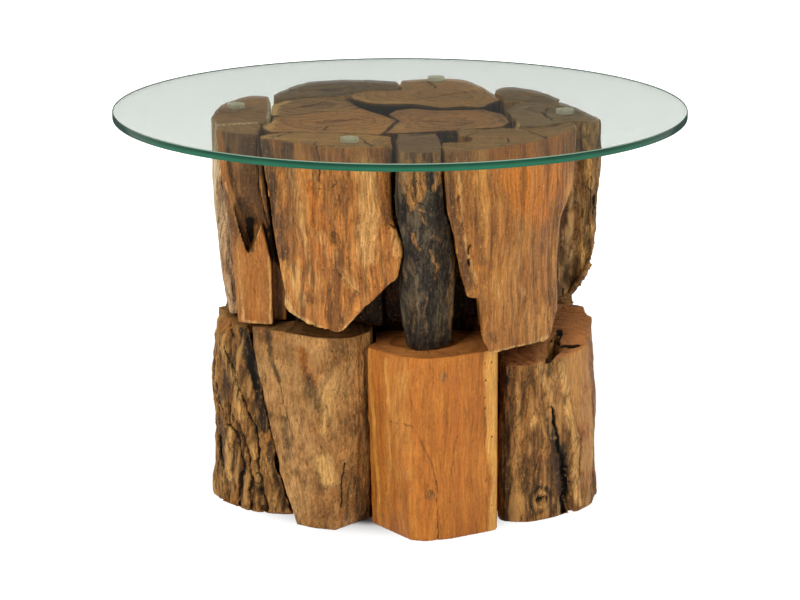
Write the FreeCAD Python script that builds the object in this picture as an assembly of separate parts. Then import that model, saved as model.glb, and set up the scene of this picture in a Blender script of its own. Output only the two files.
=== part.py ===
import FreeCAD, Part
import math
import os

Vec = FreeCAD.Vector

# Overall sizes in millimetres
TABLE_HEIGHT = 410.0  # floor to the upper face of the glass
BASE_WIDTH = 410.0  # left to right over the wood
JOINT_LEVEL = 205.0  # the lower core ends here and the upper core stands on it

# Glass top and the clear pads that it lies on
GLASS_DIAMETER = 600.0
GLASS_THICKNESS = 8.0
GLASS_ARRIS = 1.0
PAD_DIAMETER = 19.0
PAD_HEIGHT = 5.0

# Hidden loose tenons that hold the blocks together, and the two round pegs that show
TENON_THICKNESS = 12.0
TENON_WIDTH = 40.0
TENON_BITE = 28.0  # how far a tenon goes into each of its two blocks
PEG_DIAMETER = 10.0
PEG_BITE = 35.0  # how far a peg goes into the core

# Clearances and hewing
FIT = 0.1  # round a peg or tenon, on each side
SCRIBE = 4.0  # left between blocks that are cut to one another
LOG_CORNER = 18.0  # rounding of a natural log
BLOCK_CORNER = 9.0  # rounding of a worn block
SAWN_CORNER = 5.0  # rounding of a sawn edge that shows

# Derived values
DRAWN_WIDTH = 410.0  # the outlines below are drawn for a base this wide
SPREAD = BASE_WIDTH / DRAWN_WIDTH
GLASS_FLOOR = TABLE_HEIGHT - GLASS_THICKNESS
WOOD_TOP = GLASS_FLOOR - PAD_HEIGHT
UPPER_RISE = WOOD_TOP - JOINT_LEVEL
DRAWN_RISE = 192.0  # the front outlines of the upper tier are drawn for this rise
ABOVE = WOOD_TOP + 20.0  # past the head of the upper tier, for front outlines that run off it
SKIN = 0.37 * DRAWN_WIDTH  # edges further out than this are worn round, those inside are as sawn
FAR = 2.0 * (BASE_WIDTH + TABLE_HEIGHT)


def up(rise):
    # A level in the upper tier, measured from the joint
    return JOINT_LEVEL + rise * UPPER_RISE / DRAWN_RISE


def outline(ring, corners):
    # Straight runs, joined by a tangent arc at each corner that has a radius
    bends = []
    for index, here in enumerate(ring):
        back = ring[index - 1] - here
        ahead = ring[(index + 1) % len(ring)] - here
        half = back.getAngle(ahead) / 2.0
        reach = min(corners[index] / math.tan(half), 0.45 * back.Length, 0.45 * ahead.Length)
        radius = reach * math.tan(half)
        back.normalize()
        ahead.normalize()
        inward = back + ahead
        inward.normalize()
        crown = here + inward * (math.hypot(reach, radius) - radius)
        bends.append((here + back * reach, crown, here + ahead * reach))
    edges = []
    for index, (start, crown, end) in enumerate(bends):
        if corners[index] > 0.0:
            edges.append(Part.Arc(start, crown, end).toShape())
        edges.append(Part.makeLine(end, bends[(index + 1) % len(bends)][0]))
    return Part.Face(Part.Wire(edges))


def upright(points, foot, head, corner):
    # A block that follows one plan outline from its foot to its head
    ring = [Vec(x * SPREAD, y * SPREAD, foot) for x, y in points]
    corners = [corner if math.hypot(x, y) > SKIN else 0.0 for x, y in points]
    return outline(ring, corners).extrude(Vec(0, 0, head - foot))


def within(block, points, corner=0.0):
    # Keeps what lies inside an outline seen from the front, given as (x, level) points
    ring = [Vec(x * SPREAD, -FAR, level) for x, level in points]
    return block.common(outline(ring, [corner] * len(ring)).extrude(Vec(0, 2.0 * FAR, 0)))


def saw(block, x, y, level, normal):
    # Takes off all that lies beyond a plane, on the side that its normal points to
    waste = Part.makeCylinder(FAR, FAR, Vec(x * SPREAD, y * SPREAD, level), Vec(*normal))
    return block.cut(waste)


def fissure(block, low, high, outward, width, depth):
    # A wedge-shaped split in the surface, from one (x, y, level) point to another
    out = Vec(outward[0], outward[1], 0)
    out.normalize()
    along = Vec(-out.y, out.x, 0)
    wires = []
    for x, y, level in (low, high):
        root = Vec(x * SPREAD, y * SPREAD, level) - out * depth
        mouth = root + out * (2.0 * depth)
        wires.append(Part.makePolygon([root, mouth + along * width, mouth - along * width, root]))
    return block.cut(Part.makeLoft(wires, True, True))


def upper_left_block():
    foot = JOINT_LEVEL - 5.0
    ring = [(-188, -64), (-196, -28), (-195, 8), (-188, 46), (-175, 77), (-159, 96)]
    ring += [(-143, 90), (-139, 38), (-136, -54), (-160, -60)]
    block = upright(ring, foot, WOOD_TOP, BLOCK_CORNER)
    block = saw(block, -190, -20, up(76), (-1, -0.06, -0.11))
    block = saw(block, -176, 74, up(120), (-0.8, 0.6, -0.12))
    return fissure(block, (-187, 8, up(40)), (-196, 12, ABOVE), (-1, 0), 2.5, 8.0)


def upper_notched_block():
    foot = up(1)
    ring = [(-192, -75), (-160, -65), (-139, -61), (-110, -67), (-108, -92)]
    ring += [(-114, -119), (-131, -127), (-153, -121), (-176, -108), (-190, -94)]
    block = upright(ring, foot, WOOD_TOP, BLOCK_CORNER)
    face = [(-190, ABOVE), (-172, up(84)), (-165.5, foot), (-118, foot)]
    face += [(-118, up(38)), (-129, up(74)), (-147, ABOVE)]
    block = within(block, face)
    # The smooth face stands proud of a rough hollow, and ends above in a notch between two horns
    hollow_floor = -107.0
    hollow_lean = 0.06
    hollow = [(-188, ABOVE), (-163, up(98)), (-154, up(71))]
    hollow += [(-141, up(106)), (-132, up(66)), (-131, foot - 9.0)]
    hollow += [(-90, foot - 9.0), (-90, ABOVE)]
    front = saw(block, 0, hollow_floor, JOINT_LEVEL, (0, 1, hollow_lean))
    block = block.cut(within(front, hollow))
    # The hollow slopes down into a pit behind the notch
    pit = [(-174, up(142)), (-163, up(98)), (-154, up(71)), (-142, up(104)), (-150, up(142))]
    pit_head = up(136)
    pit_start = hollow_floor - hollow_lean * (pit_head - JOINT_LEVEL) / SPREAD
    pit_front = saw(block, 0, pit_start, pit_head, (0, 1, 0.4))
    return block.cut(within(pit_front, pit))


def upper_pointed_slab():
    tip = up(8)
    ring = [(-152, -138), (-118, -111), (-70, -115), (-30, -124), (7, -140), (9, -180)]
    ring += [(-30, -189), (-60, -191), (-95, -171), (-120, -154)]
    block = upright(ring, tip, WOOD_TOP, LOG_CORNER)
    face = [(-144, ABOVE), (-129, up(109)), (-115, up(42))]
    face += [(-117, up(27)), (-94, up(12)), (-58, tip), (-40, up(30))]
    face += [(-5, up(65)), (2, up(93)), (-9, up(125)), (-9, ABOVE)]
    block = within(block, face, BLOCK_CORNER)
    # A split runs slanting across the face, and a drying check down from the upper edge
    block = fissure(block, (-38, -189, up(44)), (-72, -186, up(90)), (-0.1, -1), 2.5, 7.0)
    return fissure(block, (-81, -181, up(144)), (-82, -180, ABOVE), (-0.4, -1), 2.0, 9.0)


def upper_dark_post():
    foot = JOINT_LEVEL - 13.0
    ring = [(-6, -113), (36, -113), (41, -150), (62, -165), (46, -203), (22, -213), (0, -206), (-6, -165)]
    block = upright(ring, foot, WOOD_TOP, LOG_CORNER)
    # Three hewn facets lean back towards the foot
    block = saw(block, 22, -213, WOOD_TOP, (0.1, -1, -0.18))
    block = saw(block, 44, -204, WOOD_TOP, (0.6, -0.8, -0.14))
    block = saw(block, 2, -206, WOOD_TOP, (-0.55, -0.84, -0.16))
    face = [(-2, ABOVE), (-4, up(150)), (-3, up(128)), (4, up(95)), (1, up(45))]
    face += [(8, foot), (51, foot), (55, up(19)), (55, up(80)), (51, up(110))]
    face += [(44, up(134)), (41, up(170)), (40, ABOVE)]
    return within(block, face, BLOCK_CORNER)


def upper_wide_slab():
    foot = JOINT_LEVEL - 12.0
    # The inner side leaves an open hollow beside the core
    ring = [(38, -164), (70, -161), (76, -142), (60, -128), (58, -100), (74, -95), (88, -96), (106, -87)]
    ring += [(122, -93), (150, -83), (182, -54), (185, -78), (164, -119), (131, -161), (88, -196), (38, -215)]
    block = upright(ring, foot, WOOD_TOP, BLOCK_CORNER)
    # A corner is broken out at the left foot
    face = [(43, ABOVE), (43, up(170)), (46, up(136)), (53, up(111)), (57, up(90))]
    face += [(66, up(50)), (78, up(47)), (82, up(4)), (90, foot)]
    face += [(152, foot), (160, up(15)), (163, up(110))]
    face += [(177, up(146)), (180, ABOVE)]
    block = within(block, face, SAWN_CORNER)
    # Two checks beside the broken side
    block = fissure(block, (76, -202, up(54)), (66, -205, up(122)), (0.4, -1), 3.0, 9.0)
    return fissure(block, (141, -151, up(122)), (140, -152, ABOVE), (0.7, -1), 1.6, 6.0)


def upper_right_block():
    foot = up(8)
    ring = [(119, -50), (125, -85), (150, -77), (181, -50), (203, -62), (208, -40), (200, -12)]
    ring += [(187, 26), (173, 57), (130, 57), (110, 22), (115, -8)]
    block = upright(ring, foot, WOOD_TOP, BLOCK_CORNER)
    # The outer side is hewn in under its belly, down to a tip
    block = saw(block, 205, -40, up(63), (1, 0.2, -0.5))
    block = saw(block, 188, -40, up(20), (1, 0.2, -0.85))
    split_foot = (197, -60, up(80))
    return fissure(block, split_foot, (193, -57, WOOD_TOP + 5), (0.5, -1), 3.0, 12.0)


def upper_back_right_block():
    foot = up(2)
    ring = [(113, 65), (105, 110), (104, 129), (111, 146), (123, 152), (143, 137), (163, 104), (177, 63)]
    block = upright(ring, foot, WOOD_TOP, BLOCK_CORNER)
    block = saw(block, 154, 120, up(100), (0.8, 0.6, -0.09))
    return fissure(block, (148, 124, foot - 5.0), (146, 133, up(120)), (0.75, 0.66), 2.5, 9.0)


def upper_back_block():
    ring = [(0.5, 187), (22, 196), (40, 202), (57, 199), (73, 189), (88, 158), (99, 120), (108, 68)]
    # A lobe reaches in behind the open heart of the core
    ring += [(86, 24), (66, 29), (44, 21), (32, 29), (15, 44), (-15, 42), (-35, 48), (-50, 70), (-55, 92)]
    ring += [(-48, 110), (-30, 122), (2, 127)]
    block = upright(ring, JOINT_LEVEL, WOOD_TOP, BLOCK_CORNER)
    block = saw(block, 40, 201, up(80), (0.1, 1, -0.12))
    return fissure(block, (28, 194, up(50)), (34, 199, ABOVE), (-0.2, 1), 3.0, 10.0)


def upper_back_left_block():
    foot = up(2)
    ring = [(-138, 97), (-134, 116), (-120, 149), (-99, 182), (-66, 195), (-33, 195), (-2, 184)]
    ring += [(-1, 131), (-31, 126), (-51, 113), (-60, 93), (-102, 87), (-124, 72), (-134, 61)]
    block = upright(ring, foot, WOOD_TOP, BLOCK_CORNER)
    block = saw(block, -50, 194, up(90), (0, 1, -0.1))
    block = saw(block, -110, 165, up(110), (-0.84, 0.54, -0.08))
    return fissure(block, (-72, 187, up(30)), (-84, 189, ABOVE), (-0.3, 1), 3.0, 11.0)


def upper_core_left():
    ring = [(-137, 36), (-135, 54), (-124, 68), (-103, 83), (-66, 88), (-53, 60), (-43, 26)]
    ring += [(-58, 10), (-86, 5), (-106, -10), (-126, -23), (-135, -19)]
    return upright(ring, JOINT_LEVEL, WOOD_TOP, BLOCK_CORNER)


def upper_core_front():
    ring = [(-133, -30), (-106, -13), (-86, 2), (-57, 7), (-42, 22), (-17, -18), (-4, -50)]
    ring += [(-20, -122), (-57, -114), (-70, -112), (-114, -108), (-132, -112), (-141, -84), (-141, -66)]
    ring += [(-133, -58)]
    block = upright(ring, JOINT_LEVEL, WOOD_TOP, BLOCK_CORNER)
    # Cut under, clear of the notched block, which leans inwards as it goes down
    lean = 33.0 * SPREAD
    return saw(block, -141, -60, WOOD_TOP, (-UPPER_RISE, 0, -lean))


def upper_core_right():
    ring = [(0, -48), (-13, -10), (-5, 14), (14, 26), (42, 13), (86, 19), (108, -6), (114, -50), (104, -79)]
    ring += [(72, -89), (30, -103), (12, -108), (-15, -113)]
    return upright(ring, JOINT_LEVEL, WOOD_TOP, BLOCK_CORNER)


def log_outline(margin):
    # Front outline of the tapered log, whose left side leans over its neighbour
    head = JOINT_LEVEL + 20.0
    waist = 0.26 * JOINT_LEVEL
    left = [(-157 - margin, head), (-124 - margin, waist), (-104 - margin, -10.0)]
    return left + [(-31 + margin, -10.0), (-29 + margin, head)]


def lower_gnarled_block():
    head = JOINT_LEVEL - 8.0
    ring = [(-190, -11), (-198, -48), (-184, -84), (-168, -102), (-142, -115), (-112, -121)]
    ring += [(-100, -94), (-105, -50), (-130, -20)]
    block = upright(ring, 0.0, head, BLOCK_CORNER)
    block = saw(block, -198, -45, 0.58 * head, (-1, -0.1, 0.085))
    block = saw(block, -176, -93, 0.45 * head, (-0.75, -0.66, -0.04))
    # Worn off at the outer shoulder
    block = saw(block, -187, -50, head - 7.0, (-0.7, -0.2, 0.7))
    # Scribed to the log that leans over it, in front of the core
    log_back = -90.0
    front = saw(block, 0, log_back, 0, (0, 1, 0))
    block = block.cut(within(front, log_outline(SCRIBE)))
    block = fissure(block, (-143, -115, -5), (-158, -108, 0.62 * head), (-0.3, -1), 3.0, 14.0)
    block = fissure(block, (-178, -92, 0.2 * head), (-181, -88, head + 5), (-0.8, -0.7), 3.5, 12.0)
    return fissure(block, (-197, -48, -5), (-195, -42, 0.8 * head), (-1, -0.1), 3.0, 11.0)


def lower_tapered_log():
    head = JOINT_LEVEL - 2.0
    ring = [(-158, -119), (-120, -142), (-88, -164), (-64, -171), (-46, -164), (-31, -142)]
    ring += [(-29, -113), (-62, -97), (-100, -95), (-130, -102)]
    block = upright(ring, 0.0, head, LOG_CORNER)
    block = within(block, log_outline(0.0))
    # Saw facet at the right foot
    return saw(block, -44, -158, 0.13 * head, (0.72, -0.62, -0.32))


def lower_smooth_block():
    head = JOINT_LEVEL - 13.0
    ring = [(-34, -160), (-15, -182), (6, -200), (26, -205), (52, -197), (99, -169)]
    ring += [(99, -119), (92, -98), (40, -93), (-24, -97), (-25, -140)]
    block = upright(ring, 0.0, head, BLOCK_CORNER)
    # The left side draws in towards the floor
    block = saw(block, -34, -160, head, (-0.81, -0.58, -0.065))
    return fissure(block, (38, -202, -5), (37, -202, 0.35 * head), (0.2, -1), 1.6, 7.0)


def lower_split_log():
    head = JOINT_LEVEL - 8.0
    ring = [(103, -144), (134, -145), (162, -128), (188, -107), (203, -82), (209, -47), (191, -8)]
    ring += [(160, 2), (130, -7), (107, -30), (102, -82)]
    block = upright(ring, 0.0, head, LOG_CORNER)
    block = saw(block, 210, -50, 0.25 * head, (1, -0.15, 0.07))
    # The head is sawn off sloping towards the front, and its heart has split into a star
    block = saw(block, 150, 0, head, (0, -0.2, 1))
    star_tips = [(151, -137), (184, -98), (166, -64)]
    star_roots = [(162, -110), (163, -101), (152, -104)]
    star = [point for pair in zip(star_tips, star_roots) for point in pair]
    star_ring = [Vec(x * SPREAD, y * SPREAD, head) for x, y in star]
    star_depth = 60.0
    heart = Part.Face(Part.makePolygon(star_ring + star_ring[:1])).extrude(Vec(0, 0, -star_depth))
    block = block.cut(heart)
    return fissure(block, (179, -108, -5), (148, -146, 0.8 * head), (0.35, -1), 3.5, 13.0)


def lower_back_right_block():
    head = JOINT_LEVEL - 9.0
    ring = [(193, 3), (194, 46), (178, 92), (150, 129), (119, 112), (93, 75), (89, 30), (101, -18)]
    ring += [(128, 0), (160, 9)]
    block = upright(ring, 0.0, head, LOG_CORNER)
    block = saw(block, 186, 70, 0.5 * head, (0.9, 0.42, 0.09))
    block = saw(block, 192, 24, 0.5 * head, (1, 0.06, 0.06))
    return fissure(block, (184, 68, 0.25 * head), (176, 76, head + 5), (0.9, 0.42), 3.0, 11.0)


def lower_back_block():
    ring = [(144, 138), (110, 168), (62, 191), (10, 200), (-42, 194), (-80, 177), (-66, 128)]
    ring += [(-33, 97), (20, 96), (60, 90), (90, 83), (115, 118)]
    block = upright(ring, 0.0, JOINT_LEVEL, LOG_CORNER)
    block = saw(block, 15, 199, 0.4 * JOINT_LEVEL, (0.02, 1, 0.08))
    block = saw(block, 88, 180, 0.6 * JOINT_LEVEL, (0.44, 0.9, 0.1))
    block = fissure(block, (18, 202, -5), (6, 191, 0.7 * JOINT_LEVEL), (0, 1), 3.5, 12.0)
    return fissure(block, (-44, 196, 0.3 * JOINT_LEVEL), (-36, 186, JOINT_LEVEL + 5), (-0.2, 1), 3.0, 11.0)


def lower_back_left_block():
    head = JOINT_LEVEL - 3.0
    ring = [(-168, 111), (-126, 153), (-86, 175), (-71, 130), (-57, 97), (-87, 58), (-129, 91)]
    block = upright(ring, 0.0, head, LOG_CORNER)
    block = saw(block, -146, 132, 0.5 * head, (-0.7, 0.7, 0.1))
    return fissure(block, (-152, 136, -5), (-136, 134, 0.8 * head), (-0.7, 0.7), 3.0, 11.0)


def lower_left_block():
    head = JOINT_LEVEL - 10.0
    ring = [(-192, -5), (-200, 26), (-190, 71), (-173, 105), (-131, 85), (-91, 53), (-92, 0)]
    ring += [(-101, -40), (-130, -14)]
    block = upright(ring, 0.0, head, LOG_CORNER)
    block = saw(block, -196, 48, 0.4 * head, (-1, 0.1, 0.12))
    block = saw(block, -180, 88, 0.6 * head, (-0.86, 0.5, -0.08))
    return fissure(block, (-200, 30, -5), (-187, 40, 0.85 * head), (-1, 0.1), 3.0, 11.0)


def lower_core():
    ring = [(-94, -86), (-60, -91), (40, -88), (86, -92), (96, -78), (96, -28), (84, 30), (87, 72)]
    ring += [(60, 84), (20, 91), (-32, 92), (-54, 91), (-83, 52), (-88, 0), (-98, -46)]
    return upright(ring, 0.0, JOINT_LEVEL, BLOCK_CORNER)


def glass_top():
    disc = Part.makeCylinder(GLASS_DIAMETER / 2.0, GLASS_THICKNESS, Vec(0, 0, GLASS_FLOOR))
    rims = [edge for edge in disc.Edges if isinstance(edge.Curve, Part.Circle)]
    return disc.makeChamfer(GLASS_ARRIS, rims)


def clear_pad(x, y):
    return Part.makeCylinder(PAD_DIAMETER / 2.0, PAD_HEIGHT, Vec(x * SPREAD, y * SPREAD, WOOD_TOP))


def reach_of(block, start, way):
    # Distances along a line at which it enters and leaves a block
    inside = block.common(Part.makeLine(start, start + way * FAR))
    ends = [(vertex.Point - start).Length for vertex in inside.Vertexes]
    return min(ends), max(ends)


def level_line(outside, target, level):
    start = Vec(outside[0] * SPREAD, outside[1] * SPREAD, level)
    way = Vec(target[0] * SPREAD, target[1] * SPREAD, level) - start
    way.normalize()
    return start, way


def bar(start, way, near, far, room):
    # A flat bar on edge along a level line, with some room added on every side
    thickness = TENON_THICKNESS + 2.0 * room
    width = TENON_WIDTH + 2.0 * room
    corner = Vec(near - room, -thickness / 2.0, -width / 2.0)
    box = Part.makeBox(far - near + 2.0 * room, thickness, width, corner)
    box.Placement = FreeCAD.Placement(start, FreeCAD.Rotation(Vec(1, 0, 0), way))
    return box


def side_tenon(parts, outer, anchor, outside, target, level):
    # A loose tenon across the joint between an outer block and the block that it is fixed to
    start, way = level_line(outside, target, level)
    near = reach_of(parts[outer], start, way)[1] - TENON_BITE
    far = reach_of(parts[anchor], start, way)[0] + TENON_BITE
    mortise = bar(start, way, near, far, FIT)
    parts[outer] = parts[outer].cut(mortise)
    parts[anchor] = parts[anchor].cut(mortise)
    return bar(start, way, near, far, 0.0)


def tier_bar(x, y, room):
    length = 2.0 * (TENON_BITE + room)
    thickness = TENON_THICKNESS + 2.0 * room
    width = TENON_WIDTH + 2.0 * room
    corner = Vec(x * SPREAD - thickness / 2.0, y * SPREAD - width / 2.0, JOINT_LEVEL - length / 2.0)
    return Part.makeBox(thickness, width, length, corner)


def tier_tenon(parts, x, y, lower, upper):
    # Stands half in a lower block and half in the upper block that rests on it
    mortise = tier_bar(x, y, FIT)
    parts[lower] = parts[lower].cut(mortise)
    parts[upper] = parts[upper].cut(mortise)
    return tier_bar(x, y, 0.0)


def peg(parts, outer, anchor, outside, target, level):
    # Driven level through an outer block into its anchor, and cut flush with the outer face
    start, way = level_line(outside, target, level)
    inside = reach_of(parts[outer], start, way)[0] + PEG_DIAMETER
    end = reach_of(parts[anchor], start, way)[0] + PEG_BITE
    radius = PEG_DIAMETER / 2.0
    hole = Part.makeCylinder(radius + FIT, end + FIT, start, way)
    flush_end = parts[outer].common(Part.makeCylinder(radius, inside + PEG_DIAMETER, start, way))
    shank = Part.makeCylinder(radius, end - inside, start + way * inside, way)
    parts[outer] = parts[outer].cut(hole)
    parts[anchor] = parts[anchor].cut(hole)
    return flush_end.fuse(shank).removeSplitter()


parts = {
    "upper_left_block": upper_left_block(),
    "upper_notched_block": upper_notched_block(),
    "upper_pointed_slab": upper_pointed_slab(),
    "upper_dark_post": upper_dark_post(),
    "upper_wide_slab": upper_wide_slab(),
    "upper_right_block": upper_right_block(),
    "upper_back_right_block": upper_back_right_block(),
    "upper_back_block": upper_back_block(),
    "upper_back_left_block": upper_back_left_block(),
    "upper_core_left": upper_core_left(),
    "upper_core_front": upper_core_front(),
    "upper_core_right": upper_core_right(),
    "lower_gnarled_block": lower_gnarled_block(),
    "lower_tapered_log": lower_tapered_log(),
    "lower_smooth_block": lower_smooth_block(),
    "lower_split_log": lower_split_log(),
    "lower_back_right_block": lower_back_right_block(),
    "lower_back_block": lower_back_block(),
    "lower_back_left_block": lower_back_left_block(),
    "lower_left_block": lower_left_block(),
    "lower_core": lower_core(),
}

# Outer block, the block it is fixed to, and the line of its tenons in plan
upper_lines = [
    ("upper_left_block", "upper_core_left", (-300, 10), (-60, 10)),
    ("upper_notched_block", "upper_core_front", (-260, -134), (-100, -60)),
    ("upper_pointed_slab", "upper_core_front", (-74, -300), (-74, -40)),
    ("upper_dark_post", "upper_core_right", (24, -300), (24, -40)),
    ("upper_wide_slab", "upper_core_right", (160, -260), (75, -60)),
    ("upper_right_block", "upper_core_right", (300, -25), (40, -25)),
    ("upper_back_right_block", "upper_back_block", (210, 190), (60, 60)),
    ("upper_back_left_block", "upper_core_left", (-85, 300), (-85, 20)),
]
lower_lines = [
    ("lower_gnarled_block", "lower_core", (-300, -78), (-40, -40)),
    ("lower_tapered_log", "lower_core", (-95, -300), (-60, -40)),
    ("lower_split_log", "lower_core", (190, -220), (70, -4)),
    ("lower_back_right_block", "lower_core", (300, 125), (40, 30)),
    ("lower_back_block", "lower_core", (30, 320), (18, 30)),
    ("lower_back_left_block", "lower_core", (-220, 240), (-30, 30)),
    ("lower_left_block", "lower_core", (-300, 50), (-40, 20)),
]
upper_levels = (up(52), up(138))
lower_levels = (0.24 * JOINT_LEVEL, 0.66 * JOINT_LEVEL)
upper_tenons = [side_tenon(parts, *line, level) for line in upper_lines for level in upper_levels]
lower_tenons = [side_tenon(parts, *line, level) for line in lower_lines for level in lower_levels]
tier_tenons = [
    tier_tenon(parts, -70, 34, "lower_core", "upper_core_left"),
    tier_tenon(parts, -58, -48, "lower_core", "upper_core_front"),
    tier_tenon(parts, 60, -28, "lower_core", "upper_core_right"),
    tier_tenon(parts, 52, 60, "lower_core", "upper_back_block"),
]
# The smooth block is pegged from the front, out of line, at (x, level)
peg_places = [(30, 0.24 * JOINT_LEVEL), (43, 0.84 * JOINT_LEVEL)]
round_pegs = []
for x, level in peg_places:
    round_pegs.append(peg(parts, "lower_smooth_block", "lower_core", (x, -300), (x, -20), level))

parts["glass_top"] = glass_top()
pad_places = [(-173, 22), (-50, -162), (40, 186), (172, -10)]
parts["clear_pads"] = Part.Compound([clear_pad(x, y) for x, y in pad_places])
parts["upper_tenons"] = Part.Compound(upper_tenons)
parts["lower_tenons"] = Part.Compound(lower_tenons)
parts["tier_tenons"] = Part.Compound(tier_tenons)
parts["round_pegs"] = Part.Compound(round_pegs)

os.makedirs("parts", exist_ok=True)
for name, shape in parts.items():
    shape.exportStep("parts/" + name + ".step")
    print(name, len(shape.Solids), "solids", round(shape.Volume / 1000.0, 1), "cm3")
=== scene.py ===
import bpy
import functools
import math
import numpy as np
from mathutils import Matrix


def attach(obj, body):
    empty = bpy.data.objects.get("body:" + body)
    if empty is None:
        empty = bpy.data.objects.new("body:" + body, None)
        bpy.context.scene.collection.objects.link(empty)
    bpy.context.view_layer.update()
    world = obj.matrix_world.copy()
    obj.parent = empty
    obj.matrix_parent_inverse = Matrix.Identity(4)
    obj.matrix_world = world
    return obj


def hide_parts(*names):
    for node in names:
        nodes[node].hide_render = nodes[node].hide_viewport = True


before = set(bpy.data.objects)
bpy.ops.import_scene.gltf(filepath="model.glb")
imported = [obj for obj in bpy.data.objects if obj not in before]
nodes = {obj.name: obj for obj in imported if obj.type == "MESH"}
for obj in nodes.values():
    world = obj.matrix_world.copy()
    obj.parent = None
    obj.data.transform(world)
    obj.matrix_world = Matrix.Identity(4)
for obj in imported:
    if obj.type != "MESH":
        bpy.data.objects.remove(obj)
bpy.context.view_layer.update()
print("frame loaded:", len(nodes), "nodes")

perMetre = 1000.0  # millimetres
mergeReach = 0.00002  # metres between corners that are really one


def tint(red, green, blue):  # screen colour, 0 to 255, as the linear colour that sockets take
    shares = [value / 255.0 for value in (red, green, blue)]
    linear = [((share + 0.055) / 1.055) ** 2.4 if share > 0.04 else share / 12.92 for share in shares]
    return (*linear, 1.0)


def pickOnly(*pieces):  # the first one becomes active
    bpy.ops.object.select_all(action="DESELECT")
    for piece in pieces:
        piece.select_set(True)
    bpy.context.view_layer.objects.active = pieces[0]


def applyModifier(piece, kind, **fields):
    tool = piece.modifiers.new(kind.lower(), kind)
    for name, value in fields.items():
        setattr(tool, name, value)
    pickOnly(piece)
    bpy.ops.object.modifier_apply(modifier=tool.name)


def copyNode(nodeName, pieceName):
    copy = bpy.data.objects.new(pieceName, nodes[nodeName].data.copy())
    bpy.context.scene.collection.objects.link(copy)
    copy.data.materials.clear()
    return copy


def mergeCorners(piece):
    pickOnly(piece)
    bpy.ops.object.mode_set(mode="EDIT")
    bpy.ops.mesh.select_all(action="SELECT")
    bpy.ops.mesh.remove_doubles(threshold=mergeReach)
    bpy.ops.object.mode_set(mode="OBJECT")


def editFaces(piece, wanted):  # goes into edit mode with the faces whose normal is wanted
    bpy.ops.object.mode_set(mode="EDIT")
    bpy.ops.mesh.select_all(action="DESELECT")
    bpy.ops.object.mode_set(mode="OBJECT")
    for face in piece.data.polygons:
        face.select = wanted(face.normal)
    bpy.ops.object.mode_set(mode="EDIT")


def paint(piece, name, values):
    layer = piece.data.attributes.new(name, "FLOAT", "POINT")
    layer.data.foreach_set("value", np.asarray(values, np.float32))


# node shorthand

class Wiring:  # the nodes of one finish, group or world

    def __init__(self, tree):
        self.tree = tree

    def put(self, kind, **fields):
        node = self.tree.nodes.new("ShaderNode" + kind)
        for name, value in fields.items():
            setattr(node, name, value)
        return node

    def feed(self, socket, value):  # links a socket, or sets a plain value
        if isinstance(value, bpy.types.NodeSocket):
            self.tree.links.new(value, socket)
        else:
            socket.default_value = value

    def feedAll(self, sockets, values):
        for label, value in values.items():
            self.feed(sockets[label], value)

    def run(self, kind, values, out=0, **fields):  # a node whose first sockets are fed in order
        node = self.put(kind, **fields)
        for socket, value in zip(node.inputs, values):
            self.feed(socket, value)
        return node.outputs[out]

    def maths(self, operation, *values):
        return self.run("Math", values, operation=operation)

    def times(self, first, second):
        return self.maths("MULTIPLY", first, second)

    def plus(self, first, second):
        return self.maths("ADD", first, second)

    def weighted(self, *parts):  # sum of values, each by its share
        return functools.reduce(self.plus, [self.times(value, share) for value, share in parts])

    def vectors(self, operation, *values, out=0):
        return self.run("VectorMath", values, out, operation=operation)

    def scaled(self, vector, factors):
        return self.vectors("MULTIPLY", vector, factors)

    def remap(self, value, low, high, toLow=0.0, toHigh=1.0, soft=False):
        ease = "SMOOTHSTEP" if soft else "LINEAR"
        return self.run("MapRange", (value, low, high, toLow, toHigh), interpolation_type=ease)

    def mix(self, share, first, second, mode="MIX"):
        node = self.put("Mix", data_type="RGBA", blend_type=mode)
        self.feedAll(node.inputs, {0: share, 6: first, 7: second})  # the colour sockets
        return node.outputs[2]

    def noise(self, vector, scale, detail=3.0, rough=0.55, out="Fac"):
        node = self.put("TexNoise")
        self.feedAll(node.inputs, {"Vector": vector, "Scale": scale, "Detail": detail, "Roughness": rough})
        return node.outputs[out]

    def effect(self, group, values):
        node = self.put("Group", node_tree=group)
        self.feedAll(node.inputs, values)
        return node.outputs


def newGroup(name, inputs, outputs):
    group = bpy.data.node_groups.new(name, "ShaderNodeTree")
    for label, kind in inputs.items():
        group.interface.new_socket(label, in_out="INPUT", socket_type="NodeSocket" + kind)
    for label in outputs:
        group.interface.new_socket(label, in_out="OUTPUT", socket_type="NodeSocketFloat")
    given = group.nodes.new("NodeGroupInput").outputs
    made = group.nodes.new("NodeGroupOutput").inputs
    return group, Wiring(group), given, made


def newFinish(name):
    finish = bpy.data.materials.new(name)
    finish.use_nodes = True
    wire = Wiring(finish.node_tree)
    place = wire.put("TexCoord").outputs["Object"]
    return finish, wire, finish.node_tree.nodes["Principled BSDF"], place


# shared wood effects, where noise takes scale, detail and roughness

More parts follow.
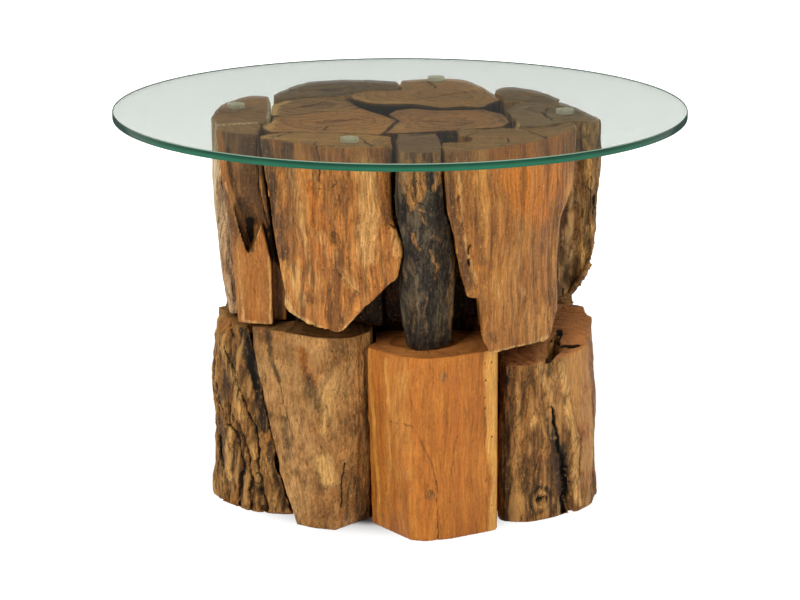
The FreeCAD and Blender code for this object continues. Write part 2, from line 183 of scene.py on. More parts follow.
def teakGrainGroup():  # streaks and fibres run up the block, rings lie round its pith
    group, wire, given, made = newGroup("teakGrain", {
        "Vector": "Vector", "Pith": "Vector", "Ring Size": "Float", "Wander": "Float", "Stretch": "Vector",
    }, ["Streak", "Fibre", "Lines", "Rings", "Years", "Rays", "Sawn", "Cloud", "Stain", "Speck"])
    place = given["Vector"]
    maths, times, noise, remap, scaled = wire.maths, wire.times, wire.noise, wire.remap, wire.scaled

    def thin(value, repeats, width):  # fine lines, one in the middle of each repeat
        offset = maths("SUBTRACT", maths("FRACT", times(value, repeats)), 0.5)
        return remap(maths("ABSOLUTE", offset), 0.0, width, 1.0, 0.0)

    def lateWood(count):  # each ring darkens slowly and ends sharply
        return maths("POWER", maths("FRACT", count), 3.0)

    drift = wire.vectors("SUBTRACT", noise(place, 11.0, 2.0, out="Color"), (0.5, 0.5, 0.5))
    bent = wire.vectors("ADD", place, scaled(drift, given["Wander"]))
    drawn = scaled(bent, given["Stretch"])
    streak = noise(drawn, 80.0, 5.0, 0.65)
    line = noise(scaled(drawn, (1.0, 1.0, 0.6)), 105.0, 2.0, 0.5)
    lined = noise(scaled(place, (1.0, 1.0, 0.4)), 55.0)
    away = wire.vectors("SUBTRACT", bent, given["Pith"])
    reach = wire.vectors("LENGTH", scaled(away, (1.0, 1.0, 0.1)), out="Value")
    rings = wire.plus(maths("DIVIDE", reach, given["Ring Size"]), times(streak, 1.6))
    wobble = times(noise(place, 16.0, 2.0), 0.035)
    years = maths("DIVIDE", wire.plus(reach, wobble), times(given["Ring Size"], 1.1))
    season = wire.put("TexWhiteNoise", noise_dimensions="1D")
    wire.feed(season.inputs["W"], maths("FLOOR", years))
    level = scaled(away, (1.0, 1.0, 0.0))
    spoke = wire.vectors("ADD", wire.vectors("NORMALIZE", level), scaled(level, (6.0, 6.0, 0.0)))
    fan = noise(spoke, 2.6, 3.0, 0.6)
    torn = noise(place, 48.0)
    wire.feedAll(made, {
        "Streak": remap(streak, 0.34, 0.66),
        "Fibre": remap(noise(drawn, 420.0, 3.0, 0.7), 0.35, 0.65),
        "Lines": times(thin(line, 5.0, 0.11), remap(lined, 0.42, 0.62, soft=True)),
        "Rings": lateWood(rings),
        "Years": wire.weighted((season.outputs["Value"], 0.4), (lateWood(years), 0.6)),
        "Rays": times(thin(fan, 7.0, 0.12), remap(torn, 0.43, 0.56, soft=True)),
        "Sawn": remap(noise(scaled(place, (0.13, 1.0, 1.0)), 210.0, 3.0, 0.6), 0.36, 0.64),
        "Cloud": remap(noise(place, 21.0, 5.0, 0.62), 0.34, 0.66, soft=True),
        "Stain": remap(noise(scaled(place, (1.0, 1.0, 0.6)), 37.0, 5.0, 0.65), 0.46, 0.68, soft=True),
        "Speck": noise(scaled(place, (1.0, 1.0, 0.55)), 520.0, 2.0, 0.6),
    })
    return group


def dryChecksGroup():  # thin dark splits along the grain, in some places only
    group, wire, given, made = newGroup("dryChecks", {
        "Vector": "Vector", "Scale": "Float", "Cover": "Float",
    }, ["Checks"])
    place = given["Vector"]
    drift = wire.noise(place, 60.0, out="Color")
    bent = wire.vectors("ADD", place, wire.scaled(drift, (0.011, 0.011, 0.011)))
    cells = wire.put("TexVoronoi", feature="DISTANCE_TO_EDGE")
    wire.feedAll(cells.inputs, {"Vector": wire.scaled(bent, (1.0, 1.0, 0.09)), "Scale": given["Scale"]})
    line = wire.remap(cells.outputs["Distance"], 0.0, 0.06, 1.0, 0.0)
    where = wire.noise(wire.scaled(place, (1.0, 1.0, 0.5)), 38.0)
    shown = wire.remap(wire.plus(where, given["Cover"]), 0.95, 1.1, soft=True)
    wire.feed(made["Checks"], wire.times(line, shown))
    return group


def raggedEdgeGroup():  # breaks up the edge of a painted layer
    group, wire, given, made = newGroup("raggedEdge", {
        "Layer": "Float", "Vector": "Vector", "Scale": "Float", "Spread": "Float", "Full": "Float",
    }, ["Mask"])
    tear = wire.noise(wire.scaled(given["Vector"], (1.0, 1.0, 0.35)), given["Scale"], 5.0, 0.7)
    shift = wire.times(wire.maths("SUBTRACT", tear, 0.5), given["Spread"])
    start = wire.remap(given["Layer"], 0.0, 0.25)
    total = wire.plus(given["Layer"], wire.times(shift, start))
    wire.feed(made["Mask"], wire.remap(total, 0.1, given["Full"], soft=True))
    return group


teakGrain = teakGrainGroup()
dryChecks = dryChecksGroup()
raggedEdge = raggedEdgeGroup()

sawnTeak = {  # smooth orange faces
    "deep": (130, 76, 30), "mid": (172, 108, 46), "light": (200, 140, 72),
    "warm": (190, 108, 38), "warmth": 0.25, "pale": (212, 162, 96), "dark": (74, 50, 30),
    "endDeep": (100, 66, 30), "endLight": (160, 112, 56), "hollow": (58, 35, 17),
    "blotch": 0.35, "fibre": 0.5, "lines": 0.8, "speck": 0.55, "rings": 0.2, "ringSize": 0.009,
    "checks": 0.0, "checkScale": 70.0, "valley": 0.5, "ridge": 0.3, "rough": 0.5, "bump": 0.7,
    "wander": 0.02, "stretch": 0.07, "pith": (0.0, -0.05),
}
weatheredTeak = {  # brown outer wood
    "deep": (80, 50, 24), "mid": (144, 97, 48), "light": (192, 142, 78),
    "warm": (160, 95, 36), "warmth": 0.4, "pale": (204, 156, 88), "dark": (48, 36, 24),
    "endDeep": (84, 58, 32), "endLight": (150, 108, 62), "hollow": (34, 23, 14),
    "blotch": 0.45, "fibre": 0.55, "lines": 0.7, "speck": 0.65, "rings": 0.0, "ringSize": 0.008,
    "checks": 0.45, "checkScale": 75.0, "valley": 0.72, "ridge": 0.5, "rough": 0.6, "bump": 0.85,
    "wander": 0.035, "stretch": 0.1, "pith": (0.0, 0.0),
}
charredTeak = {  # burnt black, with bark left on it
    "deep": (28, 24, 19), "mid": (56, 48, 37), "light": (112, 96, 72),
    "warm": (168, 116, 60), "warmth": 0.0, "pale": (116, 88, 54), "dark": (28, 24, 20),
    "endDeep": (86, 58, 34), "endLight": (142, 100, 56), "hollow": (18, 15, 12),
    "blotch": 0.45, "fibre": 0.7, "lines": 0.7, "speck": 1.0, "rings": 0.0, "ringSize": 0.008,
    "checks": 0.3, "checkScale": 80.0, "valley": 0.7, "ridge": 0.45, "rough": 0.62, "bump": 0.9,
    "wander": 0.03, "stretch": 0.12, "pith": (0.02, -0.1),
}
shadedInnerTeak = dict(weatheredTeak, deep=(26, 18, 12), mid=(46, 32, 20), light=(70, 50, 32))  # dark sides inside: painted shade, so the gaps between the blocks look near black

# the darkest tone colours specks, hairlines, rays and checks, and also the painted shade in relief valleys
toneNames = ("deep", "mid", "light", "warm", "pale", "dark", "endDeep", "endLight", "hollow")
woodMix = {  # what all the wood shares
    "crack": tint(24, 17, 12), "gloss": 0.26, "roughLift": 0.06, "bumpDepth": 0.0012, "rays": 0.85,
    "darkCover": 0.92, "warmLines": 0.35, "endGrit": 0.35,
    "dots": (0.42, 0.3), "glints": (0.6, 0.74),  # noise where these start and are full
    "ridges": (0.62, 1.05), "valleys": (0.36, -0.05),  # relief where the painted highlight on ridges and the painted shade in valleys start and are full
    "figure": {"Years": 0.7, "Cloud": 0.2, "Sawn": 0.2},
}
layerEdges = {  # scale and spread of the tears, and the strength that covers fully
    "warm": (70.0, 1.4, 1.1), "pale": (110.0, 1.2, 1.0), "dark": (90.0, 1.8, 1.1), "crack": (260.0, 0.9, 0.8),
}


def woodFinish(name, look):
    finish, wire, shader, place = newFinish(name)
    times, remap, mix = wire.times, wire.remap, wire.mix
    tones = {label: tint(*look[label]) for label in toneNames}

    def painted(label):
        return wire.put("Attribute", attribute_name=label).outputs["Fac"]

    def ragged(label):
        edge = dict(zip(("Scale", "Spread", "Full"), layerEdges[label]))
        return wire.effect(raggedEdge, {"Layer": painted(label), "Vector": place, **edge})["Mask"]

    def layered(colour, *coats):
        for mask, tone in coats:
            colour = mix(mask, colour, tone)
        return colour

    grain = wire.effect(teakGrain, {
        "Vector": place, "Pith": (*look["pith"], 0.0), "Ring Size": look["ringSize"],
        "Wander": look["wander"], "Stretch": (1.0, 1.0, look["stretch"]),
    })
    splits = wire.effect(dryChecks, {
        "Vector": place, "Scale": look["checkScale"], "Cover": 0.35 * look["checks"] + 0.3,
    })
    ends, relief = painted("endGrain"), painted("relief")
    side = wire.maths("SUBTRACT", 1.0, ends)
    warmed, split = ragged("warm"), ragged("crack")
    checks = times(times(splits["Checks"], look["checks"]), side)
    lined = times(side, remap(warmed, 0.0, 1.0, look["lines"], woodMix["warmLines"] * look["lines"]))
    lines = times(grain["Lines"], lined)

    ramp = wire.put("ValToRGB")
    ramp.color_ramp.elements[0].color = tones["deep"]
    ramp.color_ramp.elements[1].color = tones["light"]
    ramp.color_ramp.elements.new(0.5).color = tones["mid"]
    shade = wire.weighted((grain["Cloud"], look["blotch"]), (grain["Streak"], 1.0 - look["blotch"]))
    wire.feed(ramp.inputs["Fac"], shade)
    figure = wire.weighted(*[(grain[label], share) for label, share in woodMix["figure"].items()])
    sawnEnd = mix(remap(figure, 0.2, 0.8), tones["endLight"], tones["endDeep"])
    sawnEnd = mix(times(grain["Rays"], woodMix["rays"]), sawnEnd, tones["hollow"])
    colour = layered(
        ramp.outputs["Color"],
        (times(grain["Stain"], look["warmth"]), tones["warm"]),
        (times(grain["Rings"], look["rings"]), tones["deep"]),
        (ends, sawnEnd),
        (warmed, tones["warm"]),
        (ragged("pale"), tones["pale"]),
        (times(ragged("dark"), woodMix["darkCover"]), tones["dark"]),
    )
    fibre = remap(grain["Fibre"], 0.0, 1.0, 1.0 - look["fibre"], 1.0 + 0.6 * look["fibre"])
    grit = remap(ends, 0.0, 1.0, 1.0, woodMix["endGrit"])
    colour = mix(grit, colour, mix(1.0, colour, fibre, "MULTIPLY"))
    colour = layered(
        colour,
        (times(remap(grain["Speck"], *woodMix["dots"], 0.0, look["speck"]), grit), tones["hollow"]),
        (times(remap(grain["Speck"], *woodMix["glints"], 0.0, look["speck"]), grit), tones["pale"]),
        (lines, tones["hollow"]),
        # painted highlight on raised relief and painted shade down in its valleys, standing in for how light
        # falls on the carved surface
        (times(remap(relief, *woodMix["ridges"], 0.0, look["ridge"], soft=True), side), tones["light"]),
        (times(remap(relief, *woodMix["valleys"], 0.0, look["valley"], soft=True), side), tones["hollow"]),
        (checks, tones["hollow"]),
        # near black from the crack layer: real splits, and painted shade where strokes lay it in gaps and
        # pits
        (split, woodMix["crack"]),
    )
    dull = wire.weighted((grain["Fibre"], -0.12), (split, 0.2))
    height = wire.weighted((grain["Fibre"], 0.6), (grain["Speck"], 1.2), (checks, -1.6), (lines, -0.8),
                           (times(grain["Sawn"], 0.5), ends))
    bump = wire.put("Bump")
    wire.feedAll(bump.inputs, {"Strength": look["bump"], "Distance": woodMix["bumpDepth"], "Height": height})
    wire.feedAll(shader.inputs, {
        "Base Color": colour, "Roughness": wire.plus(dull, look["rough"] + woodMix["roughLift"]),
        "Specular IOR Level": woodMix["gloss"], "Normal": bump.outputs["Normal"],
    })
    return finish


# shaping a block from its sawn CAD form

def roughOut(nodeNames, pieceName, voxel, worn):
    copies = [copyNode(nodeName, pieceName) for nodeName in nodeNames]
    piece = copies[0]
    pickOnly(*copies)
    if len(copies) > 1:
        bpy.ops.object.join()
    mergeCorners(piece)
    applyModifier(piece, "REMESH", mode="VOXEL", voxel_size=voxel / perMetre)
    applyModifier(piece, "SMOOTH", factor=0.5, iterations=worn)
    return piece


def readVectors(items, field):
    values = np.empty(len(items) * 3, np.float32)
    items.foreach_get(field, values)
    return values.reshape(-1, 3).astype(float)


def readPlaces(piece):
    return readVectors(piece.data.vertices, "co"), readVectors(piece.data.vertex_normals, "vector")


def movePlaces(piece, places):
    piece.data.vertices.foreach_set("co", places.astype(np.float32).ravel())


def bounded(values):
    return np.clip(values, 0.0, 1.0)


skinSteps = 20  # strengths that the skin mask is rounded to
footBand = 0.01  # metres above the floor where undersides stay flat


def maskSkin(piece, calm):  # how far the weather reaches: ends stay flat, and so do places listed as calm
    places, normals = readPlaces(piece)
    weight = 1.0 - 0.85 * bounded((normals[:, 2] - 0.5) / 0.3)
    weight *= 1.0 - bounded((-normals[:, 2] - 0.5) / 0.3) * (places[:, 2] < footBand)
    for x, z, radius in calm:
        away = np.hypot(places[:, 0] - x / perMetre, places[:, 2] - z / perMetre) * perMetre
        weight *= np.where(normals[:, 1] < -0.3, bounded(away / radius - 1.0), 1.0)
    skin = piece.vertex_groups.new(name="skin")
    steps = np.round(weight * skinSteps).astype(int)
    for step in range(1, skinSteps + 1):
        chosen = np.nonzero(steps == step)[0]
        if len(chosen):
            skin.add([int(index) for index in chosen], step / skinSteps, "REPLACE")


seedStep = (0.37, 0.21, 0.13)  # metres that each seed shifts the noise
weatherKinds = {  # noise type, contrast and middle level
    "furrow": ("HARD_NOISE", 1.3, 0.3),
    "grain": ("SOFT_NOISE", 2.0, 0.55),
    "swell": ("SOFT_NOISE", 2.0, 0.55),
}


def weather(piece, kind, size, tall, depth, seed, lean=0.0):
    # size and depth in millimetres, tall is how much longer than wide the marks are
    bpy.ops.object.select_all(action="DESELECT")
    bpy.ops.object.empty_add(location=[seed * step for step in seedStep], rotation=(0.0, lean, 0.0))
    guide = bpy.context.object
    guide.scale = (1.0, 1.0, tall)
    pattern = bpy.data.textures.new(piece.name + kind.title(), "CLOUDS")
    pattern.noise_scale = size / perMetre
    pattern.noise_depth = 2
    pattern.noise_basis = "IMPROVED_PERLIN"
    pattern.noise_type, pattern.contrast, middle = weatherKinds[kind]
    bpy.context.view_layer.update()
    applyModifier(piece, "DISPLACE", texture=pattern, texture_coords="OBJECT", texture_coords_object=guide,
                  strength=depth / perMetre, mid_level=middle, vertex_group="skin")
    bpy.data.objects.remove(guide)
    bpy.data.textures.remove(pattern)


views = {  # across, up and facing directions of each side that strokes are drawn on
    "front": ((1, 0, 0), (0, 0, 1), (0, -1, 0)),
    "back": ((1, 0, 0), (0, 0, 1), (0, 1, 0)),
    "left": ((0, 1, 0), (0, 0, 1), (-1, 0, 0)),
    "right": ((0, 1, 0), (0, 0, 1), (1, 0, 0)),
    "top": ((1, 0, 0), (0, 1, 0), (0, 0, 1)),
}


def stroke(layer, amount, depth, *path, view="front"):  # path is across, up and width, in millimetres
    return layer, view, amount, depth, path


# the near-black layer draws real splits, and painted shade in gaps and pits
warm, pale, dark, crack = [functools.partial(stroke, layer) for layer in layerEdges]


def carve(piece, strokes, ragged):  # each stroke paints a layer along a path and cuts it in
    places, normals = readPlaces(piece)
    spots = places * perMetre
    layers = {name: np.zeros(len(spots)) for name in layerEdges}
    cut = np.zeros(len(spots))
    for order, (layer, view, amount, depth, path) in enumerate(strokes):
        across, upward, facing = [np.array(axis, float) for axis in views[view]]
        u, v = spots @ across, spots @ upward
        phase = 1.7 * order  # no two strokes wobble alike
        u, v = (u + ragged * (1.3 * np.sin(v * 0.083 + phase) + 0.7 * np.sin(v * 0.227 + 2.1 * phase)
                              + 0.4 * np.sin(v * 0.61 + u * 0.2 + phase)),
                v + ragged * (0.8 * np.sin(u * 0.171 + phase) + 0.4 * np.sin(u * 0.53 + v * 0.3)))
        weight = np.zeros(len(spots))
        for (u0, v0, w0), (u1, v1, w1) in zip(path[:-1], path[1:]):
            run = np.array([u1 - u0, v1 - v0])
            share = bounded(((u - u0) * run[0] + (v - v0) * run[1]) / max(run @ run, 1e-6))
            away = np.hypot(u - u0 - share * run[0], v - v0 - share * run[1])
            weight = np.maximum(weight, 1.0 - away / (w0 + share * (w1 - w0)))
        weight = bounded(weight) * bounded((normals @ facing) * 3.0)
        layers[layer] = np.maximum(layers[layer], amount * np.minimum(1.0, 1.6 * weight))
        cut += depth * weight ** 0.8
    movePlaces(piece, places - normals * (cut / perMetre)[:, None])
    for name, values in layers.items():
        paint(piece, name, values)


def knot(view, u, v, size):  # strokes for one knot: dark rim, pale ring, checked heart
    def ring(radius, width):
        turns = np.linspace(0.0, 6.3, 13)
        return [(u + radius * math.cos(turn), v + 1.25 * radius * math.sin(turn), width) for turn in turns]

    return [
        dark(0.9, 0.8, *ring(size, 0.3 * size), view=view),
        pale(0.6, -0.6, *ring(0.6 * size, 0.24 * size), view=view),
        dark(1.0, 1.5, (u, v, 0.45 * size), (u + 0.1 * size, v, 0.4 * size), view=view),
        crack(0.9, 2.0, (u - 0.35 * size, v, 1.2), (u + 0.4 * size, v + 0.25 * size, 1.4), view=view),
    ]


def heartChecks(x, y, *spokes):  # splits in a sawn end, each by heading in degrees, start, end and width
    strokes = []
    for heading, start, end, width in spokes:
        across, along = math.cos(math.radians(heading)), math.sin(math.radians(heading))
        middle = (0.5 * (start + end), 0.03 * (end - start), 0.7 * width)
        path = [(x + far * across - kink * along, y + far * along + kink * across, wide)
                for far, kink, wide in ((start, 0.0, width), middle, (end, 0.0, 0.25 * width))]
        strokes.append(crack(1.0, 2.5, *path, view="top"))
    return strokes


rimBand = 0.004  # metres below the top of a block where its sawn rim stays crisp
insideReach = 0.19  # metres from the middle within which sides close up on their neighbours


def hewBlock(block):
    first, *others = block["node"].split("_")
    pieceName = first + "".join(word.title() for word in others)
    piece = roughOut([block["node"], *block.get("with", [])], pieceName, block["voxel"], block["worn"])
    height = readPlaces(piece)[0][:, 2].max()
    maskSkin(piece, block.get("calm", []))
    weather(piece, "swell", *block["swell"], block["seed"])
    flat, facing = readPlaces(piece)
    for kind, size, tall, depth in block["marks"]:
        weather(piece, kind, size, tall, depth, block["seed"] + size, block.get("lean", 0.0))
    places, normals = readPlaces(piece)
    relief = ((places - flat) * facing).sum(1)
    low, high = np.percentile(relief, 4), np.percentile(relief, 96)
    places[(normals[:, 2] > 0.45) & (places[:, 2] > height - rimBand), 2] = height
    movePlaces(piece, places)
    carve(piece, block["strokes"], block.get("ragged", 0.7))
    places, normals = readPlaces(piece)
    reach = np.hypot(places[:, 0], places[:, 1])
    inward = bounded(0.6 - (places[:, :2] * normals[:, :2]).sum(1) / np.maximum(reach, 0.001))
    inward *= bounded(2.0 - 2.5 * np.abs(normals[:, 2])) * (reach < insideReach)
    places += normals * (inward * block.get("plump", 1.5) / perMetre)[:, None]
    places[:, 2] = np.clip(places[:, 2], 0.0, height - block.get("drop", 0.0) / perMetre)
    movePlaces(piece, places)
    paint(piece, "relief", (relief - low) / (high - low))
    paint(piece, "endGrain", bounded((np.abs(facing[:, 2]) - 0.6) / 0.25))
    piece.data.update()
    pickOnly(piece)
    bpy.ops.object.shade_smooth()
    piece.data.materials.append(woodFinish(pieceName + "Finish", block["look"]))
    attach(piece, "base")
    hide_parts(block["node"])
    print("hewn:", pieceName, len(piece.data.polygons), "faces")


# upper tier, front

leftBlock = {
    "node": "upper_left_block", "slot": "weathered_teak", "voxel": 1.8, "worn": 4, "plump": 3.0, "seed": 1.0,
    "look": dict(weatheredTeak, deep=(150, 114, 82), mid=(206, 168, 124), light=(232, 204, 162),
                 pale=(228, 200, 160), endDeep=(94, 60, 31), endLight=(158, 108, 58),
                 valley=0.35, pith=(-0.12, 0.02)),
    "swell": (45, 3, 4), "marks": [("furrow", 16, 10, 3), ("grain", 4, 12, 0.8)],
    "strokes": [
        dark(0.8, 0.5, (-186, 390, 2), (-181, 300, 2), (-173, 215, 2)),
        dark(0.6, 1, (-20, 390, 9), (-10, 300, 6), (10, 230, 8), view="left"),
        crack(0.8, 4, (40, 395, 1.6), (45, 330, 1.6), (40, 280, 1.2), view="left"),
        pale(0.9, -0.6, (-52, 390, 10), (-46, 250, 11), view="left"),
        pale(0.6, 0, (70, 330, 8), (62, 230, 7), view="left"),
    ] + knot("left", 18, 320, 10) + heartChecks(-120, 20, (160, 80, 42, 2.4), (204, 86, 44, 2.8)) + [
        crack(0.9, 2, (-184, 363, 0.9), (-179, 336, 1), (-175, 301, 1.2), (-169, 251, 1.5),
              (-165, 212, 1.6)),
    ],
}
hewBlock(leftBlock)

notchedBlock = {
    "node": "upper_notched_block", "slot": "smooth_teak", "voxel": 1.5, "worn": 2, "seed": 2.0, "ragged": 0.4,
    "drop": 1.0,
    "look": dict(sawnTeak, deep=(134, 79, 31), mid=(158, 99, 42), light=(178, 118, 58),
                 dark=(92, 63, 36), fibre=0.3, lines=0.3, speck=0.4, valley=0.15, pith=(-0.12, -0.06)),
    "swell": (45, 3, 1.2), "marks": [("grain", 9, 14, 0.6), ("grain", 3.5, 8, 0.25)],
    "strokes": [
        dark(1.4, 0, (-175, 397, 8), (-165, 350, 7), (-155, 303, 6), (-151, 284, 4)),
        dark(1.4, 1, (-167, 397, 12), (-160, 350, 12), (-151, 310, 9)),
        dark(1.4, 0, (-153, 397, 8), (-147, 340, 8), (-141, 314, 5)),
        # dark on faces turned right: the hollow's dark wood on its inner wall, and painted shade on the outer
        # right side
        dark(1.5, 0, (-110, 397, 25), (-110, 330, 25), (-105, 290, 18), view="right"),
        dark(0.7, 0, (-110, 330, 20), (-105, 290, 16), view="left"),
        pale(0.6, 0, (-166, 388, 5), (-160, 366, 5)),
        # near black down the V pit: painted shade deep in the recess, over the hollow's dark wood
        crack(0.5, 0, (-175, 380, 4), (-168, 346, 5), (-160, 322, 5)),
        crack(0.35, 0, (-158, 330, 5), (-154, 314, 9)),
        crack(1.1, 0, (-153, 310, 6), (-152.5, 294, 5), (-153, 286, 1.8)),
        # painted shade: near black on the outer right side, in the gap beside the pointed slab, narrowing
        # downward
        crack(0.8, 0, (-112, 302, 11), (-112, 284, 9), (-105, 262, 5), (-102, 246, 2), view="right"),
        crack(0.8, 1, (-146, 390, 1.2), (-143, 350, 1.4), (-134, 300, 1.4)),
        dark(1.2, 1, (-125, 300, 5), (-123, 250, 6), (-124, 208, 5)),
        pale(0.7, 0, (-178, 350, 1.4), (-164, 304, 1.6), (-153, 281, 1.8), (-140, 311, 1.6)),
        pale(0.8, 0, (-133, 285, 1.8), (-132, 208, 2.2)),
        pale(0.5, 0, (-166, 290, 2), (-161, 210, 2.4)),
        pale(0.5, 0, (-160, 208, 2.5), (-134, 208, 2.5)),
        warm(0.4, 0, (-150, 262, 8), (-148, 215, 10)),
    ],
}
hewBlock(notchedBlock)

pointedSlab = {
    "node": "upper_pointed_slab", "slot": "smooth_teak", "voxel": 1.5, "worn": 2, "seed": 3.0, "ragged": 0.8,
    "look": dict(sawnTeak, deep=(126, 74, 30), mid=(172, 108, 48), lines=0.6, checks=0.3, warmth=0.3,
                 endDeep=(112, 72, 32), endLight=(186, 132, 66), pith=(-0.07, -0.06)),
    "swell": (60, 2.2, 5), "marks": [("furrow", 22, 9, 3.4), ("grain", 7, 9, 1.4), ("grain", 3, 4, 0.6)],
    "strokes": [
        dark(0.9, 0.8, (-138, 397, 11), (-131, 368, 12), (-124, 330, 11), (-117, 285, 7)),
        dark(0.6, 0.3, (-112, 392, 11), (-109, 330, 11), (-103, 290, 9)),
        pale(0.5, -0.6, (-112, 395, 4), (-105, 350, 4), (-100, 318, 3)),
        pale(0.6, -0.8, (-98, 344, 3), (-95, 300, 3), (-88, 260, 3)),
        warm(0.85, 1.2, (-90, 362, 6), (-86, 321, 6)),
        warm(0.6, 0, (-96, 376, 8), (-93, 362, 7)),
        warm(0.5, 0, (-78, 345, 9), (-80, 298, 9)),
        crack(0.7, 2, (-82, 397, 1.3), (-81, 366, 0.9)),
        crack(0.5, 1.2, (-83, 359, 1), (-70, 361, 1.1), (-63, 368, 1), (-65, 380, 0.8)),
        dark(0.7, 2.5, (-68, 314, 4.5), (-65, 306, 4)),
        crack(0.6, 1, (-70, 318, 0.9), (-62, 315, 1), (-61, 306, 0.9)),
        dark(0.5, 0.6, (-64, 300, 4.5), (-63, 286, 3.5)),
        dark(0.7, 1, (-41, 318, 1.8), (-39, 300, 1.8)),
        crack(0.55, 1, (-70, 290, 0.9), (-58, 273, 1.1), (-47, 260, 1.2), (-39, 253, 1)),
        pale(0.35, -1.2, (-78, 312, 9), (-62, 284, 10), (-44, 262, 8)),
        pale(0.5, -0.4, (-74, 296, 3), (-60, 276, 3.5), (-42, 256, 3)),
        dark(0.7, 0.4, (-93, 249, 6.5), (-90, 243, 6)),
        dark(0.65, 0.6, (-46, 256, 4), (-52, 240, 7), (-58, 226, 5)),
        dark(0.55, 0.8, (-13, 397, 6), (-11, 327, 6)),
        pale(0.5, -1.5, (-5, 318, 7), (-3, 296, 8)),
        crack(0.8, 2, (-10, 325, 1.6), (-6, 321, 1.6)),
        pale(0.6, 0, (-105, 272, 8), (-100, 240, 8)),
        pale(0.6, 0, (-34, 380, 14), (-30, 330, 16), (-34, 290, 13)),
        # painted highlight: a pale line along the bottom edge
        pale(1, 0.6, (-115, 240, 3.5), (-103, 225, 3.5), (-80, 216, 3.5), (-60, 213, 3.5), (-40, 230, 3.5),
             (-15, 255, 3.5), (-4, 269, 3.5)),
    ] + heartChecks(-70, -60, (233, 100, 62, 2.6), (290, 128, 84, 3.0), (262, 122, 96, 1.8)),
}
hewBlock(pointedSlab)

darkPost = {
    "node": "upper_dark_post", "slot": "charred_wood", "voxel": 1.6, "worn": 3, "seed": 4.0, "drop": 1.4,
    "ragged": 1.6, "look": charredTeak,
    "swell": (42, 3, 4), "marks": [("furrow", 15, 6, 3.6), ("grain", 4, 3, 1.1)],
    "strokes": [
        warm(1, -0.5, (0, 402, 20), (6, 372, 13), (12, 348, 6)),
        warm(1, -0.5, (22, 402, 22), (21, 378, 13), (19, 354, 6)),
        warm(1, -0.4, (42, 402, 18), (38, 380, 9), (36, 366, 4)),
        dark(0.6, 1.2, (12, 397, 2), (12, 372, 1.8), (15, 356, 1.4)),
        dark(0.5, 0.8, (31, 397, 1.8), (29, 372, 1.6)),
        crack(0.7, 1, (13, 352, 1.2), (20, 350, 1.2), (27, 347, 1)),
        warm(0.9, -0.6, (15, 348, 2.4), (24, 344, 2.2)),
        warm(0.9, 0.8, (14, 319, 3.2), (16, 303, 3)),
        warm(0.9, 0.8, (33, 299, 1.8), (35, 270, 2.4)),
        warm(0.8, 0.5, (19, 339, 1.8), (24, 328, 2.2)),
        warm(0.8, 0.5, (33, 315, 1.6), (37, 308, 1.6)),
        pale(0.9, 0, (53, 290, 6), (53, 206, 8)),
        pale(0.7, 0.6, (26, 250, 2.2), (27, 208, 2.2)),
        pale(0.45, 0, (12, 285, 10), (13, 215, 9)),
    ],
}
hewBlock(darkPost)

wideSlab = {
    "node": "upper_wide_slab", "slot": "smooth_teak",
    "voxel": 1.6, "worn": 2, "seed": 5.0, "ragged": 0.8, "drop": 0.4,
    "look": dict(sawnTeak, deep=(126, 76, 32), mid=(172, 110, 48), light=(200, 142, 72),
                 warm=(190, 110, 34), checks=0.3, warmth=0.15, fibre=0.35, lines=0.4, pith=(0.1, -0.04)),
    "swell": (65, 2.5, 4), "marks": [("furrow", 20, 12, 2.8), ("grain", 7, 12, 1.1), ("grain", 3, 4, 0.5)],
    "strokes": [
        warm(0.95, 0, (108, 396, 30), (124, 366, 36), (138, 330, 24)),
        warm(0.8, 0, (156, 392, 20), (158, 345, 15)),
        dark(0.7, 0.6, (46, 390, 8), (52, 335, 9), (60, 300, 10), (70, 266, 10)),
        dark(0.5, 0.3, (64, 390, 10), (74, 330, 11), (82, 290, 10)),
        pale(0.5, -0.8, (57, 390, 3), (60, 340, 3), (66, 312, 3)),
        crack(0.8, 3, (60, 330, 1.3), (61, 324, 1.3)),
        crack(0.9, 4, (68, 307, 1.5), (68, 299, 1.5)),
        crack(0.9, 4, (67, 292, 1.5), (69, 286, 1.5)),
        crack(0.6, 2, (57, 357, 1.1), (57, 352, 1.1)),
        pale(0.6, -1, (62, 318, 2.6), (68, 298, 3), (76, 274, 3)),
        dark(0.35, 0.3, (99, 360, 1.4), (108, 337, 1.4), (108, 304, 1.4)),
        dark(0.35, 0.3, (134, 300, 1.2), (136, 250, 1.2), (134, 205, 1.2)),
        dark(0.6, 0.4, (92, 213, 5), (96, 206, 5)),
        crack(0.5, 0.6, (150, 245, 0.9), (153, 196, 1)),
        crack(0.4, 0.6, (104, 262, 0.8), (103, 215, 0.9)),
        dark(0.6, 0.6, (160, 330, 3), (159, 260, 3), (157, 200, 3)),
        pale(0.25, 0, (112, 300, 16), (124, 205, 20)),
        pale(0.9, 0.5, (90, 195, 3), (120, 194, 3), (152, 196, 3)),
        dark(0.6, 0, (118, -88, 5), (150, -80, 6), view="top"),
    ] + heartChecks(100, -40, (251, 124, 70, 3.0), (296, 130, 60, 2.6), (274, 120, 92, 1.8)),
}
hewBlock(wideSlab)

